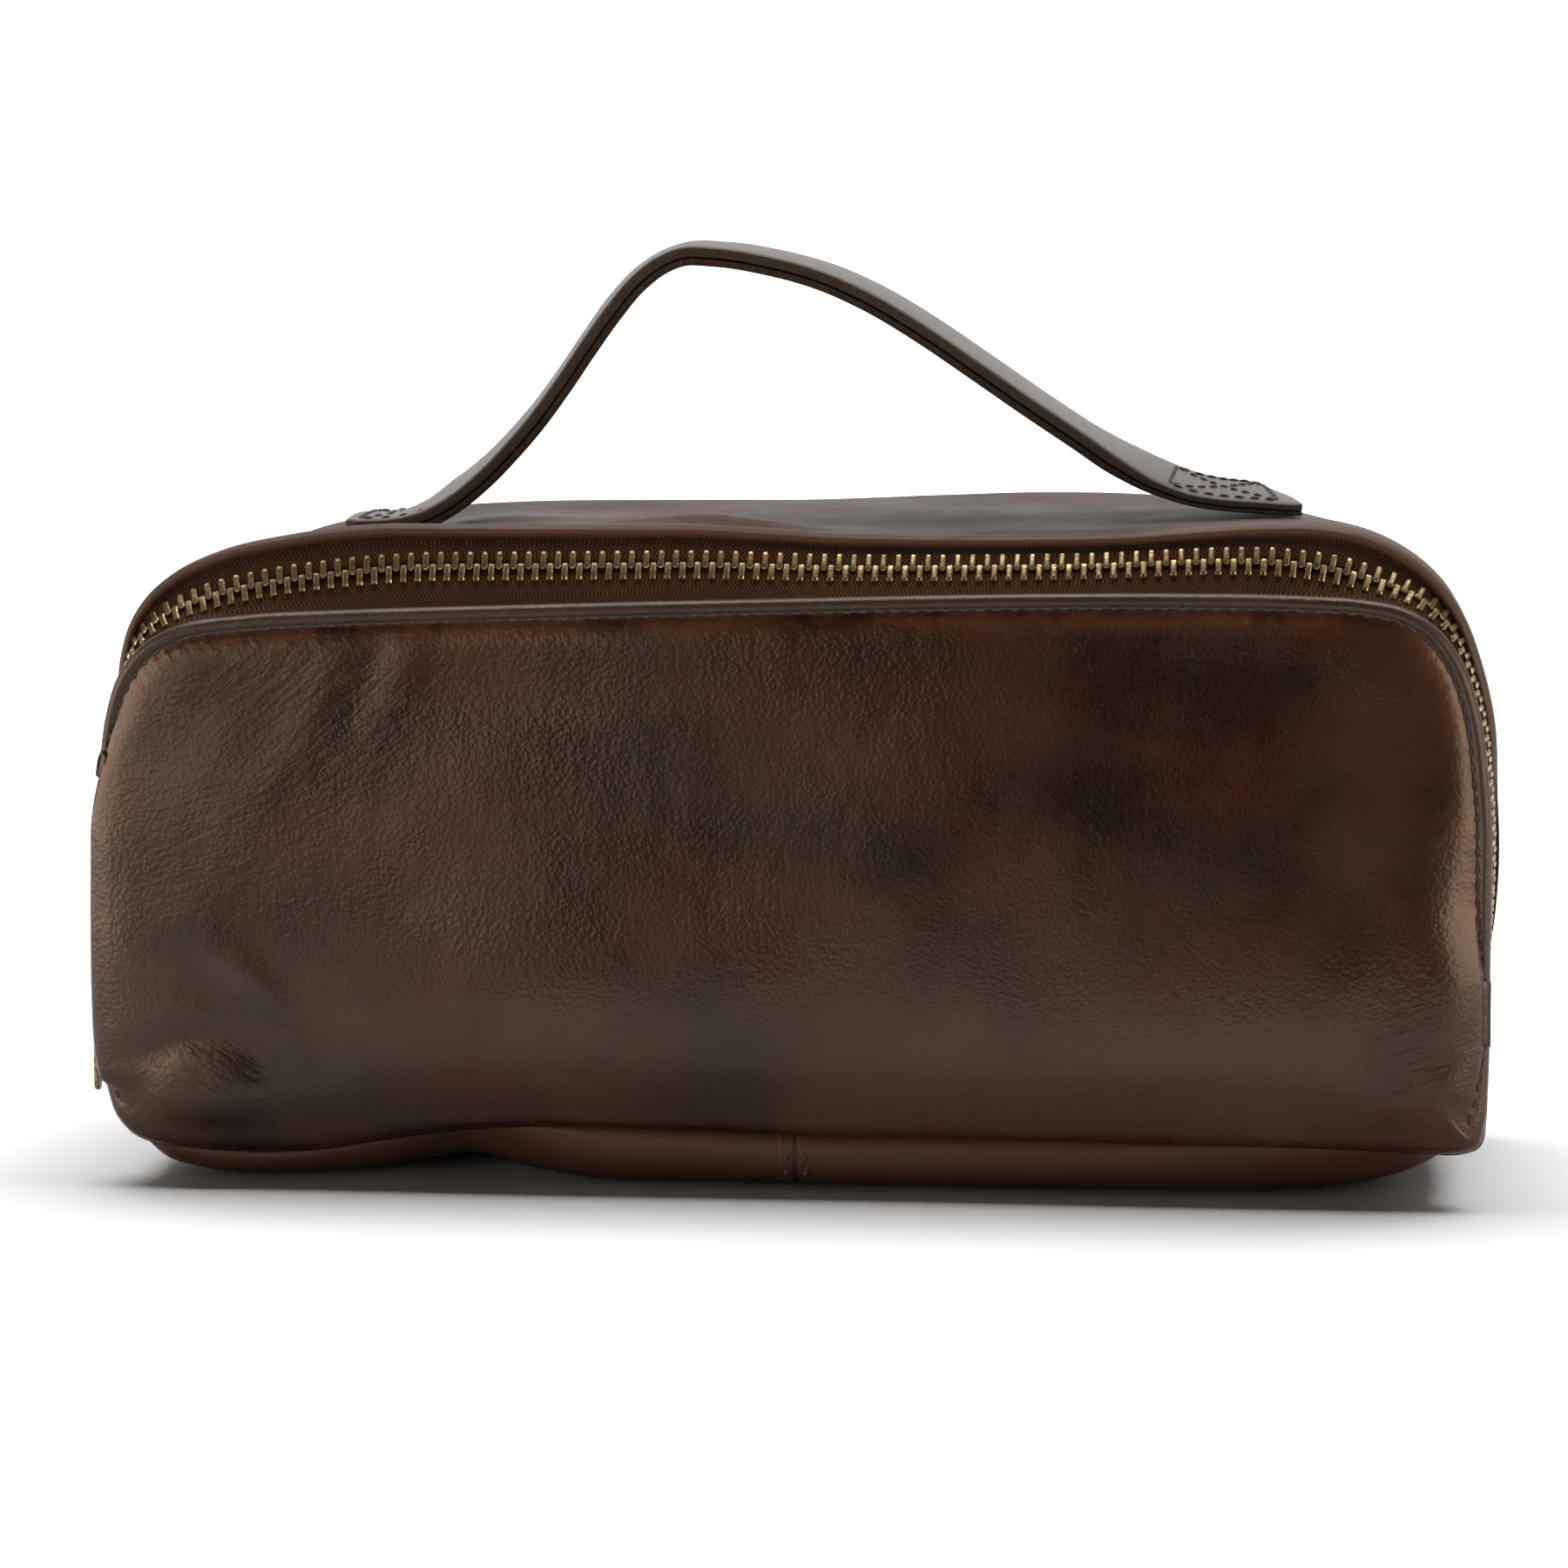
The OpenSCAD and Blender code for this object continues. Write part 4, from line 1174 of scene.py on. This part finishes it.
def lining(name, laid, body, node_name, flip=False, weld=False):
    """A cloth laid in the bag and held by its edge seams. A welded one is a panel's, the other a band's."""
    obj = surface(name, laid, closed=True, flip=flip, thick=LINING_T, weld=weld)
    finish_piece(obj, "lining", body, node_name)


lining("front_lining_cloth", shifted(FRONT[9:], LINING_GAP), FLAP, "front_lining",
       flip=True, weld=True)
lining("back_lining_cloth", shifted(BACK_GRID[6:], -LINING_GAP), "bag", "back_lining",
       weld=True)
inner = slice(len(ROLL) + 1, len(ROLL) + len(GUSSET_Y) + 2)
inside = GUSSET[inner] - gusset_normals[inner] * (LINING_GAP + wrinkles(GUSSET[inner]))[..., None]
lining("gusset_lining_cloth", inside, "bag", "gusset_lining")


def unworn_map(along, grid):
    """An edge map that is past all the wear of the leather's edges."""
    return np.broadcast_to(along, grid.shape[:2]), np.full(grid.shape[:2], 20.0)


def patch(name, columns, rows, thick, look, node_name):
    """A flat reinforcement that follows the gusset's inner face."""
    grid = GUSSET[np.ix_(rows, columns)] - gusset_normals[np.ix_(rows, columns)] * INSIDE_FACE
    edge = unworn_map(np.arange(len(columns)) * 1.0, grid)
    finish_piece(surface(name, grid, edge=edge, thick=thick), look, "bag", node_name)


bag_rows = len(ROLL) + np.flatnonzero(abs(GUSSET_Y) <= 12.5)
top_columns = np.flatnonzero((CREST[:, 1] > 100) & (np.arange(RING) > 0))
for side, low_x, high_x in (("left", -91, -68), ("right", 64, 91)):
    chosen = top_columns[(CREST[top_columns, 0] > low_x) & (CREST[top_columns, 0] < high_x)]
    patch(f"tab_backing_{side}", chosen, bag_rows, 0.7, "gusset", f"handle_backing_{side}")
bottom = np.concatenate([np.arange(RING - 8, RING), np.arange(0, 9)])
patch("seam_tape_cloth", bottom, len(ROLL) + np.arange(1, len(GUSSET_Y) - 1), 0.4, "lining", "gusset_seam_tape")

POCKET_W, POCKET_Z = 180.0, (22.0, 84.0)
pocket_x, pocket_z = np.meshgrid(np.linspace(-POCKET_W / 2, POCKET_W / 2, 61), np.linspace(*POCKET_Z, 25))
belly = ramp(pocket_z, 26, 84) * np.cos(pocket_x / POCKET_W * math.pi) ** 0.7
pocket_y = 43.9 - 1.6 * belly + 0.3 * np.sin(pocket_x / 9) * np.sin(pocket_z / 13)
pocket = surface("slip_pocket_cloth", np.stack([pocket_x, pocket_y, pocket_z], -1), flip=True, thick=0.5)
finish_piece(pocket, "lining", "bag", "slip_pocket")


def pocket_binding():
    """A strip of thin leather folded over the pocket's top edge."""
    half_t, drop = 0.95, 7.5
    a = np.radians(np.linspace(180, 0, 9))
    fold = [(half_t * math.cos(t), 0.2 + half_t * math.sin(t)) for t in a]
    section = [(-half_t, -drop)] + fold + [(half_t, -drop)]
    hem = list(zip(pocket_x[-1], pocket_y[-1] + 0.25, pocket_z[-1]))
    grid = np.array([[(x, y + dy, z + dz) for x, y, z in hem] for dy, dz in section])
    obj = surface("pocket_binding_leather", grid, edge=unworn_map(pocket_x[-1], grid), flip=True, thick=0.6)
    finish_piece(obj, "gusset", "bag", "pocket_binding")


pocket_binding()


def seam_binding():
    """A bound edge round the back seam, inside."""
    n = outward(BACK)
    rows = [
        at_y(BACK + n * (-4.6 + 0.85 * math.cos(t)), 41.0 + 1.5 * math.sin(t))
        for t in np.radians(np.linspace(0, 360, 13))
    ]
    obj = surface("seam_binding_cloth", np.stack(rows), closed=True, weld=True)
    finish_piece(obj, "lining", "bag", "back_seam_binding")


seam_binding()

# ---------------------------------------------------------------- stage, lights, camera

scene = bpy.context.scene
scene.view_settings.view_transform = "Standard"


def add_light(name, at, to, size, power, colour=(1, 1, 1), only_gloss=False):
    light = bpy.data.lights.new(name, "AREA")
    light.shape, light.size, light.size_y = "RECTANGLE", size[0], size[1]
    light.energy, light.color = power, colour
    obj = bpy.data.objects.new(name, light)
    obj.location = at
    obj.rotation_mode = "QUATERNION"
    obj.rotation_quaternion = (Vector(to) - Vector(at)).to_track_quat("-Z", "Y")
    obj.visible_diffuse = not only_gloss
    scene.collection.objects.link(obj)


FOOTPRINT = (("X", 0.13), ("Y", 0.05))  # half the bag's width and depth, in metres
FLOOR_GLOW = 0.62


def make_stage():
    """A white floor that curves up into a backdrop. It glows away from the bag, so the picture ends white."""
    profile = [(-0.42, 0.0), (-0.3, 0.0), (-0.15, 0.0), (0.0, 0.0), (0.5, 0.0), (1.0, 0.0), (1.6, 0.0),
               (2.3, 0.0), (2.6, 0.03), (2.85, 0.14), (3.0, 0.35), (3.05, 0.7), (3.05, 3.2)]
    xs = np.linspace(-3.2, 3.2, 9)
    grid = np.array([[(x, y, z) for x in xs] for y, z in profile]) * 1000
    floor = surface("floor", grid, lift=0.0)
    material, tree, shader = new_material("paper_white")
    place = node(tree, "ShaderNodeNewGeometry").outputs["Position"]
    parts = node(tree, "ShaderNodeSeparateXYZ", {"Vector": place})
    total = 0.0
    for axis, half in FOOTPRINT:
        past = math_node(tree, "SUBTRACT", math_node(tree, "ABSOLUTE", parts.outputs[axis]), half)
        past = math_node(tree, "MAXIMUM", past, 0.0)
        total = plus(tree, total, times(tree, past, past))
    reach = math_node(tree, "SQRT", total)
    glow = plus(tree, between(tree, reach, 0.0, 0.19), between(tree, reach, 0.3, 1.2, 0.0, 0.6))
    join(tree, shader, colour=(0.93, 0.93, 0.93, 1), rough=0.8, specular=0.0, glow_colour=(1, 1, 1, 1),
         glow=times(tree, glow, FLOOR_GLOW))
    floor.data.materials.append(material)


make_stage()
WARM = (1.0, 0.90, 0.78)
add_light("overhead", (0.0, 0.27, 1.35), (0, 0.05, 0.0), (1.6, 0.90), 29)
add_light("front_softbox", (-0.50, -1.35, 0.27), (0, 0, 0.06), (0.42, 0.36), 1.75, WARM)
# White cards beside the bag, which only show as the soft bright rims of its sides.
add_light("left_card", (-1.15, -0.55, 0.30), (0, 0, 0.06), (1.7, 0.8), 26, WARM, only_gloss=True)
add_light("right_card", (1.15, -0.50, 0.30), (0, 0, 0.06), (1.6, 0.8), 23, WARM, only_gloss=True)

world = bpy.data.worlds.new("studio")
world.use_nodes = True
world.node_tree.nodes["Background"].inputs["Color"].default_value = (0.012, 0.012, 0.012, 1)
scene.world = world


def make_camera(azimuth, elevation, distance, target, lens):
    a, e = math.radians(azimuth), math.radians(elevation)
    back = Vector((math.sin(a) * math.cos(e), -math.cos(a) * math.cos(e), math.sin(e)))
    camera = bpy.data.objects.new("camera", bpy.data.cameras.new("camera"))
    camera.data.lens, camera.data.sensor_width = lens, 36.0
    camera.location = Vector(target) + back * distance
    camera.rotation_mode = "QUATERNION"
    camera.rotation_quaternion = (-back).to_track_quat("-Z", "Y")
    scene.collection.objects.link(camera)
    scene.camera = camera


make_camera(7.0, 6.5, 1.5, (-0.0019, -0.0454, 0.0769), 186.3)
